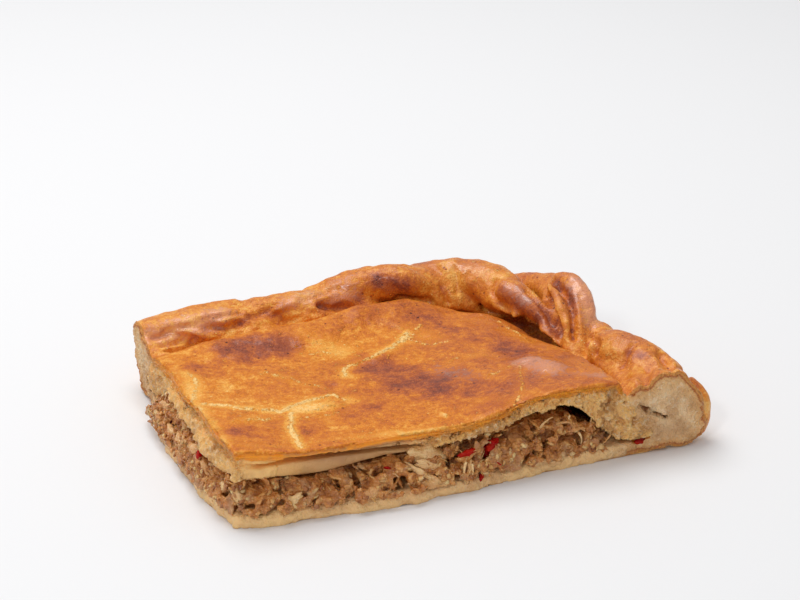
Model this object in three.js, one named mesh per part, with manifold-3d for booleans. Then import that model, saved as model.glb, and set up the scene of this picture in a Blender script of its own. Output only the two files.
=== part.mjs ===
// A corner slice of a large baked savoury pie, in millimetres with +Z up.
// A base sheet of bread dough has its edge folded up and over in a twisted rope. The rope holds down
// the edge of a lid sheet, and a layer of flaked fish, onion and pepper lies between the two sheets.
// The knife left two cut faces that meet in a corner: the front cut along x and the left cut along y.
import * as THREE from "three";
import { mergeVertices } from "three/addons/utils/BufferGeometryUtils.js";
import Module from "manifold-3d";

const wasm = await Module();
wasm.setup();

// Driving dimensions. The knife's corner is at x = 0, y = 0 until the slice is centred at the end.
const SIDE_RIM_X = 129.5; // the rope's centreline along the right side
const REAR_RIM_Y = 98.5; // the rope's centreline along the back, where the corner starts
const REAR_SKEW = THREE.MathUtils.degToRad(4); // the back edge was shaped by hand, not square to the cut
const CORNER_RADIUS = 40; // the rope's centreline round the corner
const OVERRUN = 45; // how far the rope is laid past each cut before the knife trims it
const BASE_THICKNESS = 4.2;
const LID_LEVEL = 19.4; // top of the lid where it is flat
const LID_THICKNESS = { atCorner: 9, farAway: 4.8, from: 15, to: 88 }; // by distance from the knife's corner
const CLEARANCE = 0.35; // gap left between pieces that touch

// Where each sheet ends under the rope, inwards from the rope's centreline.
const BASE_INSET = 3;
const LID_INSET = 3.5;
const FILLING_INSET = 15.5;

// The lid's shape: lifted at the knife's corner, swollen on the front cut near the rope, then sagging.
const LID_LIFT = { height: 2.6, width: 13, fadeFrom: 20, fadeTo: 95 };
const LID_SWELL = { height: 5.6, from: 66, to: 96, fadeFrom: 4, fadeTo: 48, kept: 0.15 };
const LID_SAG = { depth: 1.2, from: 104, to: 120 };
const LID_ROLL = 0.35; // low waves all over it
// Beside the rope the lid dips into a slit under the pleats, and its underside bulges down to the base.
const LID_SLIT = { low: 10.5, high: 15.5, innermost: 3, mouth: 11, crease: 15 };
const LID_BULGE = { inner: 31, outer: 11 };
// On both cuts the lid has split into two layers, and the groove between them fades away from the corner.
const LID_SPLIT = { level: 0.6, spread: 0.09, depth: 2.4, fadeFrom: 45, fadeTo: 75 };
const CUT_WAVER = 0.5; // how far the knife's line wavers

// The hollow between filling and lid, on the front cut near the rope.
const HOLLOW = { depth: 4.2, from: 72, deepFrom: 92, deepTo: 104, to: 114, fadeFrom: 10, fadeTo: 40 };

// The rope: a core with pleats wound over it, each one a flat strand of dough.
const CORE_HALF_WIDTH = 7.8;
const CORE_TOP = 16.5;
const ROPE_HALF_WIDTH = 11;
const STRAND_HALF_THICKNESS = 6;
const ROPE_FLOOR = 0.5; // the rope's underside is a little above the base sheet's
const TWIST_PITCH = 108; // length of rope in which a pleat would go right round
const STRAND_FROM = THREE.MathUtils.degToRad(-75); // where a pleat starts, under the outside
const STRAND_TO = THREE.MathUtils.degToRad(198); // where it ends, tucked in beside the lid
// Each pleat: the station along the rope where it crosses the top, the height it reaches there, half
// its width, the height of its middle where it ends beside the lid, and how much further than the
// rope's own width it reaches in over the lid and out.
const PLEATS = [
  { station: -12, crest: 20.2, halfWidth: 8.5, tip: 10, reach: 2, spread: 2 },
  { station: 21, crest: 25, halfWidth: 7.6, tip: 12, reach: 2, spread: 1 },
  { station: 51, crest: 25.4, halfWidth: 8, tip: 12.5, reach: 1, spread: 1 },
  { station: 82, crest: 29.2, halfWidth: 7.6, tip: 14, reach: 1, spread: 1 },
  { station: 111, crest: 28.8, halfWidth: 8.2, tip: 17.5, reach: 13, spread: 1 },
  { station: 136, crest: 27, halfWidth: 4, tip: 16.5, reach: 9, spread: 0 },
  { station: 147, crest: 30, halfWidth: 5.2, tip: 15, reach: 4, spread: -1 },
  { station: 180, crest: 25, halfWidth: 6, tip: 12.5, reach: 0, spread: -2 },
  { station: 193, crest: 25.4, halfWidth: 3.8, tip: 12.5, reach: 0, spread: -1 },
  { station: 214, crest: 26, halfWidth: 6.8, tip: 13, reach: 0, spread: 2 },
  { station: 238, crest: 26, halfWidth: 8, tip: 13, reach: 0, spread: 3 },
];

// The filling's flakes that show on the two cuts: how many, the share on the front cut, half sizes along,
// across and through, and how far in from the cut and out of it their middles lie.
const FLAKE_COUNT = 60;
const FLAKES_IN_FRONT = 0.6;
const FLAKE_HALF_SIZES = { least: [1.8, 0.9, 0.7], most: [4.2, 2.2, 1.4] };
const FLAKE_INSIDE = 1.6;
const FLAKE_PROUD = 0.5;
const FLAKE_LEAN = { sideways: 0.8, outwards: 0.4 }; // most that a flake is turned, in radians
const FILLING_SETBACK = { middle: 1.7, lumps: 1.1 }; // the core's face, in from the cut
const SEED = 7;

const { smoothstep, lerp } = THREE.MathUtils;

// A number from 0 to 1 at each call, the same sequence every time.
function seededRandom(seed) {
  let state = seed;
  return () => {
    state = (state * 1664525 + 1013904223) % 4294967296;
    return state / 4294967296;
  };
}

// Solids and geometries

// A geometry whose faces share their vertices.
function welded(geometry) {
  const bare = geometry.clone();
  bare.deleteAttribute("normal");
  bare.deleteAttribute("uv");
  return mergeVertices(bare, 1e-4);
}

// A closed three.js geometry as a solid that can be joined and cut.
function solidFrom(geometry) {
  const closed = welded(geometry);
  return new wasm.Manifold(
    new wasm.Mesh({
      numProp: 3,
      vertProperties: closed.attributes.position.array,
      triVerts: new Uint32Array(closed.index.array),
    }),
  );
}

// A geometry grown outwards all over by a gap, to cut a seat that another piece lies in.
function grown(geometry, gap) {
  const larger = welded(geometry);
  larger.computeVertexNormals();
  const { position, normal } = larger.attributes;
  for (let i = 0; i < position.count; i++) {
    const out = new THREE.Vector3().fromBufferAttribute(normal, i).multiplyScalar(gap);
    position.setXYZ(i, position.getX(i) + out.x, position.getY(i) + out.y, position.getZ(i) + out.z);
  }
  return larger;
}

// A solid as a geometry, without any scrap that a cut has left loose.
function geometryFrom(solid) {
  const largest = solid.decompose().reduce((a, b) => (a.volume() > b.volume() ? a : b));
  const mesh = largest.getMesh();
  const geometry = new THREE.BufferGeometry();
  geometry.setAttribute("position", new THREE.BufferAttribute(mesh.vertProperties, mesh.numProp));
  geometry.setIndex(new THREE.BufferAttribute(mesh.triVerts, 1));
  geometry.computeVertexNormals();
  return geometry;
}

// Moves every vertex of a geometry to where place(x, y, z) says.
function reshape(geometry, place) {
  const position = geometry.getAttribute("position");
  for (let i = 0; i < position.count; i++) {
    const to = place(position.getX(i), position.getY(i), position.getZ(i));
    position.setXYZ(i, to.x, to.y, to.z);
  }
  return geometry;
}

// A sheet of dough or filling: place(u, v, w) gives each point, with u, v and w from 0 to 1.
function sheet(columns, rows, layers, place) {
  const box = new THREE.BoxGeometry(1, 1, 1, columns, rows, layers);
  return reshape(box, (x, y, z) => place(x + 0.5, y + 0.5, z + 0.5));
}

// A closed tube: place(across, up, t) gives each point, with a round section of radius 1 in across and
// up, and t from 0 to 1 along it. For faces that point out, up is the cross product of along and across.
function tube(sides, steps, place) {
  const cylinder = new THREE.CylinderGeometry(1, 1, 1, sides, steps);
  return reshape(cylinder, (x, y, z) => place(x, -z, y + 0.5));
}

// The rope's line and the plan of the slice

const corner = new THREE.Vector2(SIDE_RIM_X - CORNER_RADIUS, REAR_RIM_Y - CORNER_RADIUS);
const rearEnd = new THREE.Vector2(
  corner.x - CORNER_RADIUS * Math.sin(REAR_SKEW),
  corner.y + CORNER_RADIUS * Math.cos(REAR_SKEW),
);
const rearRimY = (x) => rearEnd.y + Math.tan(REAR_SKEW) * (Math.min(x, rearEnd.x) - rearEnd.x);

const rimLine = new THREE.Path();
rimLine.moveTo(-OVERRUN, rearRimY(-OVERRUN));
rimLine.lineTo(rearEnd.x, rearEnd.y);
rimLine.absarc(corner.x, corner.y, CORNER_RADIUS, Math.PI / 2 + REAR_SKEW, 0, true);
rimLine.lineTo(SIDE_RIM_X, -OVERRUN);
const rimLength = rimLine.getLength();
const rimStart = OVERRUN / Math.cos(REAR_SKEW); // length of rope before the left cut
const rimEnd = rimLength - rimStart; // station of the rope's far end

// The rope's centreline at a station, which is the length along it from the left cut.
function rimFrame(station) {
  const share = THREE.MathUtils.clamp((station + rimStart) / rimLength, 0, 1);
  const point = rimLine.getPoint(share);
  const along = rimLine.getTangent(share);
  return {
    point: new THREE.Vector3(point.x, point.y, 0),
    outward: new THREE.Vector3(-along.y, along.x, 0),
  };
}

// How far a plan point is inside the rope's centreline.
function rimInset(x, y) {
  if (x > corner.x && y > corner.y) {
    return CORNER_RADIUS - Math.hypot(x - corner.x, y - corner.y);
  }
  return Math.min(SIDE_RIM_X - x, (rearRimY(x) - y) * Math.cos(REAR_SKEW));
}

// The plan point for u and v from 0 to 1, in the outline that lies an inset inside the centreline.
function planPoint(u, v, inset) {
  let x = u * (SIDE_RIM_X - inset);
  let y = v * (rearRimY(x) - inset);
  const right = (x - corner.x) / (SIDE_RIM_X - inset - corner.x);
  const back = (y - corner.y) / (rearRimY(x) - inset - corner.y);
  if (right > 0 && back > 0) {
    x = corner.x + (x - corner.x) * Math.sqrt(1 - (back * back) / 2);
    y = corner.y + (y - corner.y) * Math.sqrt(1 - (right * right) / 2);
  }
  return { x, y };
}

// Heights

// Goes from 1 to 0 as a value passes from one limit to the other.
const fade = (value, from, to) => 1 - smoothstep(value, from, to);

// Top of the lid, down to its edge in the slit under the rope.
function lidTop(x, y) {
  const liftHere = fade(y, LID_LIFT.fadeFrom, LID_LIFT.fadeTo);
  const lift = LID_LIFT.height * Math.exp(-((x / LID_LIFT.width) ** 2)) * liftHere;
  const swellHere = lerp(LID_SWELL.kept, 1, fade(y, LID_SWELL.fadeFrom, LID_SWELL.fadeTo));
  const swell = LID_SWELL.height * smoothstep(x, LID_SWELL.from, LID_SWELL.to) * swellHere;
  const sag = LID_SAG.depth * smoothstep(x, LID_SAG.from, LID_SAG.to);
  const roll = LID_ROLL * Math.sin(x / 9 + 1.2) * Math.sin(y / 11 + 0.4);
  const free = LID_LEVEL + lift + swell - sag + roll;
  const inset = rimInset(x, y);
  const slit = lerp(LID_SLIT.low, LID_SLIT.high, smoothstep(inset, LID_SLIT.innermost, LID_SLIT.mouth));
  return lerp(slit, free, smoothstep(inset, LID_SLIT.mouth, LID_SLIT.crease));
}

// Underside of the lid, with low waves.
function lidBottom(x, y) {
  const away = smoothstep(Math.hypot(x, y), LID_THICKNESS.from, LID_THICKNESS.to);
  const thickness = lerp(LID_THICKNESS.atCorner, LID_THICKNESS.farAway, away);
  const free = lidTop(x, y) - thickness + LID_ROLL * Math.sin(x / 5) * Math.cos(y / 6);
  const floor = BASE_THICKNESS + 2 * CLEARANCE;
  return lerp(floor, free, smoothstep(rimInset(x, y), LID_BULGE.outer, LID_BULGE.inner));
}

// Top of the filling, lumpy, and sunk away from the lid in the hollow.
function fillingTop(x, y) {
  const along = smoothstep(x, HOLLOW.from, HOLLOW.deepFrom) * fade(x, HOLLOW.deepTo, HOLLOW.to);
  const sunk = HOLLOW.depth * along * fade(y, HOLLOW.fadeFrom, HOLLOW.fadeTo);
  const lumps = 0.5 + 0.5 * Math.sin(x / 3.1 + 0.7 * Math.sin(y / 2.3)) * Math.sin(y / 3.7 + 1);
  const under = lidBottom(x, y) - 2 * CLEARANCE;
  const room = under - (BASE_THICKNESS + 2 * CLEARANCE);
  const least = 0.6;
  return under - Math.min(sunk + lumps, Math.max(room - least, 0));
}

// Pieces of the slice

// How much of a change at the cut is felt at a share of the way across the slice: all, then soon none.
const nearCut = (share) => (1 - share) ** 6;

// The lid, split on its cuts.
function lidSheet() {
  return sheet(22, 17, 7, (u, v, w) => {
    const { x, y } = planPoint(u, v, LID_INSET);
    const groove = LID_SPLIT.depth * Math.exp(-(((w - LID_SPLIT.level) / LID_SPLIT.spread) ** 2));
    const waver = CUT_WAVER * (1 + Math.sin(x / 7 + y / 5 + 2 * w));
    const inFromCut = waver + groove * fade(Math.max(x, y), LID_SPLIT.fadeFrom, LID_SPLIT.fadeTo);
    return {
      x: x + inFromCut * nearCut(u),
      y: y + inFromCut * nearCut(v),
      z: lerp(lidBottom(x, y), lidTop(x, y), w),
    };
  });
}

// The base sheet, flat on its underside.
function baseSheet() {
  return sheet(16, 12, 1, (u, v, w) => {
    const { x, y } = planPoint(u, v, BASE_INSET);
    const waver = CUT_WAVER * (1 + Math.sin(x / 6 + y / 4.3));
    return {
      x: x + waver * nearCut(u),
      y: y + waver * nearCut(v),
      z: w * BASE_THICKNESS,
    };
  });
}

// The dough inside the rope, from the base up.
function ropeCore() {
  return tube(12, 36, (across, up, t) => {
    const { point, outward } = rimFrame(lerp(-rimStart, rimEnd, t));
    point.addScaledVector(outward, CORE_HALF_WIDTH * across);
    return point.setZ(lerp(ROPE_FLOOR, CORE_TOP, (1 + up) / 2));
  });
}

// The middle line of one pleat: it climbs from the outside, crosses the top and dives in by the lid. The
// turn is the angle round the rope, from straight out through straight up.
function strandPoint(pleat, t) {
  const turn = lerp(STRAND_FROM, STRAND_TO, t);
  const station = pleat.station + (TWIST_PITCH * (turn - Math.PI / 2)) / (2 * Math.PI);
  const { point, outward } = rimFrame(station);
  const foot = turn < Math.PI / 2 ? pleat.crest / 2 : pleat.tip;
  const radial = outward.clone().multiplyScalar(Math.cos(turn)).setZ(Math.sin(turn));
  const inwards = pleat.reach * smoothstep(turn, Math.PI / 2, STRAND_TO);
  const outwards = pleat.spread * smoothstep(Math.cos(turn), 0, 0.8);
  const swing = (ROPE_HALF_WIDTH - STRAND_HALF_THICKNESS) * Math.cos(turn);
  point.addScaledVector(outward, swing + outwards - inwards);
  point.z = lerp(foot, pleat.crest - STRAND_HALF_THICKNESS, Math.sin(turn));
  return { point, radial };
}

// One pleat as a solid, flat across the rope's surface and narrowing to both its ends.
function strand(pleat) {
  const nudge = 1e-3;
  return tube(12, 15, (across, up, t) => {
    const { point, radial } = strandPoint(pleat, t);
    const along = strandPoint(pleat, t + nudge).point.sub(strandPoint(pleat, t - nudge).point).normalize();
    const sideways = new THREE.Vector3().crossVectors(along, radial).normalize();
    const fullness = 0.35 + 0.65 * Math.sqrt(Math.max(Math.sin(Math.PI * t), 0));
    point.addScaledVector(radial, STRAND_HALF_THICKNESS * fullness * across);
    point.addScaledVector(sideways, pleat.halfWidth * fullness * up);
    return point.setZ(Math.max(point.z, ROPE_FLOOR));
  });
}

// What the knife leaves: everything past both cuts.
function knifeBlock() {
  const size = 400;
  const box = new THREE.BoxGeometry(size, size, size);
  return solidFrom(box.translate(size / 2, size / 2, 0));
}

// The base sheet and its rope are one piece of dough, with a seat for the lid's edge.
function baseCrust() {
  const dough = [baseSheet(), ropeCore(), ...PLEATS.map(strand)].map(solidFrom);
  const whole = dough.reduce((joined, piece) => joined.add(piece));
  return whole.intersect(knifeBlock()).subtract(solidFrom(grown(lidSheet(), CLEARANCE)));
}

// One flake of fish, onion or pepper lying on a cut.
function flake(random) {
  const onFront = random() < FLAKES_IN_FRONT;
  const along = random() * ((onFront ? SIDE_RIM_X : REAR_RIM_Y) - FILLING_INSET - LID_SLIT.mouth);
  const inwards = lerp(-FLAKE_PROUD, FLAKE_INSIDE, random());
  const [x, y] = onFront ? [along, inwards] : [inwards, along];
  const z = lerp(BASE_THICKNESS, fillingTop(x, y), lerp(0.1, 0.9, random()));
  const { least, most } = FLAKE_HALF_SIZES;
  const [length, width, thickness] = least.map((size, i) => lerp(size, most[i], random()));
  const chip = new THREE.IcosahedronGeometry(1, 0).scale(length, thickness, width);
  chip.rotateY(lerp(-1, 1, random()) * FLAKE_LEAN.sideways);
  chip.rotateX(lerp(-1, 1, random()) * FLAKE_LEAN.outwards);
  chip.rotateZ(onFront ? 0 : Math.PI / 2);
  return chip.translate(x, y, z);
}

// The filling: a lumpy core with flakes fused to both cuts, trimmed clear of the two sheets of dough.
function fillingSolid() {
  const random = seededRandom(SEED);
  const core = sheet(18, 14, 3, (u, v, w) => {
    const { x, y } = planPoint(u, v, FILLING_INSET);
    const lumps = Math.sin(x / 2.7 + 5 * w) * Math.sin(y / 2.9 + 4 * w + 1);
    const inFromCut = FILLING_SETBACK.middle + FILLING_SETBACK.lumps * lumps;
    return {
      x: x + inFromCut * nearCut(u),
      y: y + inFromCut * nearCut(v),
      z: lerp(BASE_THICKNESS + 2 * CLEARANCE, fillingTop(x, y), w),
    };
  });
  const flakes = Array.from({ length: FLAKE_COUNT }, () => solidFrom(flake(random)));
  const heap = flakes.reduce((joined, piece) => joined.add(piece), solidFrom(core));
  const dough = [lidSheet(), baseSheet()].map((piece) => solidFrom(grown(piece, CLEARANCE)));
  return dough.reduce((left, piece) => left.subtract(piece), heap);
}

// The slice

function finish(colour, roughness) {
  return new THREE.MeshStandardMaterial({ color: colour, roughness, metalness: 0 });
}

function node(name, solid, material) {
  const mesh = new THREE.Mesh(geometryFrom(solid), material);
  mesh.name = name;
  return mesh;
}

const slice = new THREE.Group();
slice.name = "empanada_slice";
slice.add(node("base_crust", baseCrust(), finish(0xc98545, 0.55)));
slice.add(node("filling", fillingSolid(), finish(0xa5815c, 0.7)));
slice.add(node("lid_crust", solidFrom(lidSheet()), finish(0xc9803a, 0.45)));

// The origin is the middle of the slice's footprint, on the table.
const box = new THREE.Box3().setFromObject(slice);
const middle = box.getCenter(new THREE.Vector3());
slice.position.set(-middle.x, -middle.y, -box.min.z);

export default slice;
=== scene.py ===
# %% [markdown]
# A corner slice of empanada.
# The slice is a base sheet of bread dough folded up into a twisted rope rim, a filling of flaked fish, and
# a baked lid tucked in under the rope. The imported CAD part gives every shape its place. This lesson copies
# the two dough solids, works them as soft dough, and lays a real filling over the filling's own core.

# %% Load the frame
import math

import bpy
import numpy as np
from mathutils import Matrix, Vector
from mathutils.bvhtree import BVHTree
from mathutils.kdtree import KDTree


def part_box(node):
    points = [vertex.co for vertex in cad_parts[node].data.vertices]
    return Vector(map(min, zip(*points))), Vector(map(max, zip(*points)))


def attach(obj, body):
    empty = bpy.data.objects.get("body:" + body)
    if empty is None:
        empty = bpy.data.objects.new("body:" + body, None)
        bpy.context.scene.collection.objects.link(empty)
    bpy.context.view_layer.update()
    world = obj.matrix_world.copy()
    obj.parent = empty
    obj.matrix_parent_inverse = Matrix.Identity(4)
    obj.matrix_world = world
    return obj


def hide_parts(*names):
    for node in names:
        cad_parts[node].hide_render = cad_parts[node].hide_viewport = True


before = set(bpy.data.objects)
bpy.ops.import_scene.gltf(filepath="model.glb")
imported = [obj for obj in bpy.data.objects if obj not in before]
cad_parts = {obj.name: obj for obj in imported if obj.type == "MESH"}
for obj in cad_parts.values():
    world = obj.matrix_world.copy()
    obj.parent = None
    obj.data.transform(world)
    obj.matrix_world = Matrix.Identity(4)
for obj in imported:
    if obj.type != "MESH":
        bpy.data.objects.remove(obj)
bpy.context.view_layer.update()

MM = 0.001
knife_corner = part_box("base_crust")[0]

# %% [markdown]
# Camera.
# The slice is seen from a little above, turned so that the knife's corner points at the viewer. The lens is
# long: 20 degrees across. Places are measured from the corner where the two cuts meet on the table.

# %% Camera
PICTURE = (800, 600)
FIELD_OF_VIEW = math.radians(20)
AZIMUTH = math.radians(-21.256)
ELEVATION = math.radians(22.275)
DISTANCE = 736.9 * MM
AIM = Vector((92.04, 113.0, 10.0)) * MM

towards_camera = Vector((
    math.sin(AZIMUTH) * math.cos(ELEVATION),
    -math.cos(AZIMUTH) * math.cos(ELEVATION),
    math.sin(ELEVATION),
))
bpy.ops.object.camera_add()
camera = bpy.context.object
camera.location = knife_corner + AIM + towards_camera * DISTANCE
camera.rotation_euler = towards_camera.to_track_quat("Z", "Y").to_euler()
camera.data.angle = FIELD_OF_VIEW
camera.data.clip_start = 10 * MM
bpy.context.scene.camera = camera
bpy.context.view_layer.update()
print("camera at", tuple(round(c, 3) for c in camera.location))

# %% [markdown]
# Light and floor.
# A white table under one wide soft light from above and behind, with a pale room all round, keeps the
# shadows short and soft. A weaker lamp in front puts small glints on the glaze and on the moist filling.

# %% Light and floor
FLOOR_SIZE = 6.0
TABLE_TONE = (0.82, 0.82, 0.83, 1)
TABLE_ROUGHNESS = 0.7
ROOM_STRENGTH = 0.46
# A lamp is a place, a size in metres and a power in watts.
LAMPS = {
    "wide_lamp": (Vector((-0.12, 0.36, 1.0)), 0.8, 8.5),
    "front_lamp": (Vector((-0.58, -0.62, 0.66)), 0.12, 1.7),
}

bpy.ops.mesh.primitive_plane_add(size=FLOOR_SIZE)
floor = bpy.context.object
floor.name = "floor"
table = bpy.data.materials.new("white_table")
table.use_nodes = True
table_shader = table.node_tree.nodes["Principled BSDF"]
table_shader.inputs["Base Color"].default_value = TABLE_TONE
table_shader.inputs["Roughness"].default_value = TABLE_ROUGHNESS
floor.data.materials.append(table)

room = bpy.data.worlds.new("pale_room")
room.use_nodes = True
room.node_tree.nodes["Background"].inputs["Color"].default_value = (1, 1, 1, 1)
room.node_tree.nodes["Background"].inputs["Strength"].default_value = ROOM_STRENGTH
bpy.context.scene.world = room
bpy.context.scene.view_settings.view_transform = "Standard"

for name, (place, size, watts) in LAMPS.items():
    bpy.ops.object.light_add(type="AREA", location=place)
    lamp = bpy.context.object
    lamp.name = name
    lamp.data.size = size
    lamp.data.energy = watts
    lamp.rotation_euler = place.to_track_quat("Z", "Y").to_euler()
    print(name, watts, "W at", tuple(round(c, 2) for c in place))

# %% [markdown]
# Working a mesh as dough.
# A CAD node is made of loose triangles. A copy of it is welded, and a voxel remesh then gives it small even
# faces, like soft clay, so that folds and cracks can be pressed into it anywhere.

# %% Dough helpers
WELD = 0.001 * MM


def pick(piece):
    """Makes one object the only selected and active one."""
    bpy.ops.object.select_all(action="DESELECT")
    piece.select_set(True)
    bpy.context.view_layer.objects.active = piece


def copy_of(node, name):
    """A welded copy of a CAD node as a new object."""
    piece = bpy.data.objects.new(name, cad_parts[node].data.copy())
    bpy.context.scene.collection.objects.link(piece)
    piece.data.materials.clear()
    pick(piece)
    bpy.ops.object.mode_set(mode="EDIT")
    bpy.ops.mesh.select_all(action="SELECT")
    bpy.ops.mesh.remove_doubles(threshold=WELD)
    bpy.ops.object.mode_set(mode="OBJECT")
    return piece


def apply(piece, kind, **settings):
    """Adds a modifier with its settings and applies it."""
    pick(piece)
    modifier = piece.modifiers.new(kind.title(), kind)
    for name, value in settings.items():
        setattr(modifier, name, value)
    bpy.ops.object.modifier_apply(modifier=modifier.name)


def values_of(items, field):
    """One field of a mesh's vertices or faces, three numbers to a row."""
    flat = np.empty(len(items) * 3, np.float32)
    items.foreach_get(field, flat)
    return flat.reshape(-1, 3)


def places(piece):
    """The place of each vertex."""
    return values_of(piece.data.vertices, "co")


def outward(piece):
    """The way that the surface faces at each vertex."""
    return values_of(piece.data.vertex_normals, "vector")


def put(piece, points):
    """Moves the vertices to new places."""
    piece.data.vertices.foreach_set("co", points.astype(np.float32).ravel())
    piece.data.update()


for name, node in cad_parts.items():
    print(name, len(node.data.polygons), "loose triangles")

# %% [markdown]
# Placing folds and cracks.
# Folds and cracks are read off the reference picture in pixels. A ray from the camera through a pixel meets
# the dough where the feature lies, so a stroke drawn over the picture lands on the dough's surface.

# %% Strokes
FOCAL_PIXELS = PICTURE[0] / 2 / math.tan(FIELD_OF_VIEW / 2)


def ray(pixel):
    """The direction from the camera through a pixel."""
    across = (pixel[0] - PICTURE[0] / 2) / FOCAL_PIXELS
    up = (PICTURE[1] / 2 - pixel[1]) / FOCAL_PIXELS
    return (camera.matrix_world.to_3x3() @ Vector((across, up, -1))).normalized()


def at_height(across, down, height):
    """The place on a pixel's ray at a height in millimetres."""
    way = ray((across, down))
    return camera.location + way * ((height * MM - camera.location.z) / way.z)


def skin_of(piece):
    """A piece's surface as it is now, for rays to find."""
    return BVHTree.FromObject(piece, bpy.context.evaluated_depsgraph_get())


def path_on(skin, pixels):
    """The places on a surface under a row of pixels."""
    hits = [skin.ray_cast(camera.location, ray(pixel))[0] for pixel in pixels]
    return np.array([hit for hit in hits if hit is not None])


def smooth_step(values, low, high):
    """0 below low, 1 above high and a smooth rise between."""
    share = np.clip((values - low) / (high - low), 0, 1)
    return share * share * (3 - 2 * share)


def near(points, path, width):
    """1 on a path, falling smoothly to 0 at a distance from it."""
    nearest = np.full(len(points), np.inf)
    for start, end in zip(path[:-1], path[1:]):
        way = end - start
        share = np.clip((points - start) @ way / (way @ way), 0, 1)
        gap = np.linalg.norm(points - start - share[:, None] * way, axis=1)
        nearest = np.minimum(nearest, gap)
    return 1 - smooth_step(nearest, 0, width)


def press(piece, strokes):
    """Raises the surface along (pixels, width, height) strokes, or presses it in by a negative height."""
    skin = skin_of(piece)
    for pixels, width, height in strokes:
        points = places(piece)
        weight = near(points, path_on(skin, pixels), width * MM)
        put(piece, points + outward(piece) * (weight * height * MM)[:, None])


middle = (PICTURE[0] / 2, PICTURE[1] / 2)
pixel_step = at_height(middle[0] + 1, middle[1], 0) - at_height(*middle, 0)
print("a pixel is", round(pixel_step.length / MM, 2), "mm wide on the table")

# %% [markdown]
# The rope rim.
# The rim is the base sheet's edge, folded over the lid and twisted by hand, so it is a row of rolls and
# tucks. The copied solid gives the twist. Rolls of dough laid along the picture's folds are joined to it,
# and one remesh melts them together as pressed dough does. Creases are then pressed in with strokes.

# %% Rim coordinates
RIM_RIGHT = 129.5
CORNER_CENTRE = (89.5, 58.5)
CORNER_RADIUS = 40.0
REAR_START = 92.3
REAR_SKEW = math.radians(4)
ARC_END = 152.5


def along_rim(points):
    """How far round the rim each place is, and how far outside the rope's middle, in millimetres."""
    x = (points[:, 0] - knife_corner.x) / MM
    y = (points[:, 1] - knife_corner.y) / MM
    over = x - CORNER_CENTRE[0]
    back = y - CORNER_CENTRE[1]
    side = (back <= 0) & (over > 0)
    station = ARC_END - CORNER_RADIUS * np.arctan2(back, over)
    out = np.hypot(over, back) - CORNER_RADIUS
    rear_out = (y - REAR_START - math.tan(REAR_SKEW) * x) * math.cos(REAR_SKEW)
    station = np.where(side, ARC_END - back, np.where(over <= 0, x / math.cos(REAR_SKEW), station))
    out = np.where(side, x - RIM_RIGHT, np.where(over <= 0, rear_out, out))
    out = np.where((over <= 0) & (x - RIM_RIGHT > rear_out), x - RIM_RIGHT, out)
    return station, out


stations, _ = along_rim(places(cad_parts["base_crust"]))
print("the rim is", round(float(stations.max())), "mm long")

# %% Rolls of dough
RIM_GRAIN = 0.63 * MM
RIM_SOFTENING = 8
# A roll is a row of pixels, each with a height above the table, and its radii there, in millimetres.
ROLLS = {
    "left_fold": (
        [(140, 341, 15.5), (175, 330, 17.5), (210, 321, 19), (240, 313, 19.5)],
        [6.3, 6.3, 6.0, 5.0]),
    "rear_roll": (
        [(349, 278, 22.5), (372, 279, 25), (395, 278, 26), (415, 284, 24), (431, 293, 20)],
        [2.6, 4.2, 4.6, 4.2, 2.6]),
    "bundle_left": (
        [(441, 264, 27), (448, 274, 25), (451, 288, 20.5), (449, 299, 17)],
        [2.0, 2.4, 2.4, 1.6]),
    "bundle_right": (
        [(452, 262, 27.5), (460, 273, 25.5), (464, 288, 20.5), (459, 301, 16.5)],
        [2.0, 2.6, 2.6, 1.8]),
    "corner_lobe": (
        [(500, 288, 25.5), (513, 293, 25), (529, 304, 23.6), (543, 316, 21.6), (550, 323, 20)],
        [4.0, 4.6, 4.0, 3.0, 2.0]),
    "inner_finger": (
        [(551, 285, 28), (558, 300, 26.5), (563, 317, 23.5), (566, 338, 18)],
        [1.6, 2.4, 2.5, 2.0]),
    "outer_finger": (
        [(553, 279, 28.2), (566, 278, 29), (580, 290, 27.6), (587, 311, 23.6), (585, 332, 18.6),
         (581, 347, 14.5)],
        [2.0, 2.9, 3.3, 3.3, 3.0, 2.4]),
    "barrel": (
        [(597, 350, 17), (612, 353, 17.5), (632, 361, 17.5), (652, 372, 17), (668, 384, 16)],
        [6.0, 7.6, 8.0, 7.6, 6.8]),
    "barrel_foot": (
        [(603, 366, 15), (618, 376, 15), (632, 388, 15)],
        [3.6, 4.2, 4.2]),
    "fused_left": (
        [(163, 359, 16), (161, 364, 13), (160, 375, 9)],
        [3.6, 4.2, 4.0]),
    "fused_end": (
        [(626, 389, 20.2), (638, 401, 15.8), (650, 417, 10)],
        [4.6, 5.4, 5.0]),
    "outer_end": (
        [(684, 382, 16.5), (696, 394, 13.5), (701, 408, 9.5), (698, 422, 5.6), (689, 434, 3.0),
         (674, 441, 2.6)],
        [3.0, 3.6, 3.6, 3.4, 2.9, 2.6]),
    "upper_lump": (
        [(702, 398, 12.6), (705, 408, 9.6)],
        [1.9, 2.3]),
    "lower_lump": (
        [(703, 420, 6.0), (700, 431, 3.4)],
        [2.1, 1.8]),
}
# A lift is a height, and where it fades in and out: along the rim, outwards from the rope, and upwards.
BARREL_SINK = (-3.5, (160, 172, 198, 206), (-20, -12), (8, 18))


def lift(piece, height, stations, outs, heights=(-1, 0)):
    """Moves a stretch of a piece beside the rim up or down, where it is higher than some height."""
    points = places(piece)
    station, out = along_rim(points)
    stretch = smooth_step(station, *stations[:2]) * (1 - smooth_step(station, *stations[2:]))
    above = smooth_step(points[:, 2] / MM, *heights)
    points[:, 2] += height * MM * stretch * above * smooth_step(out, *outs)
    put(piece, points)


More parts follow.
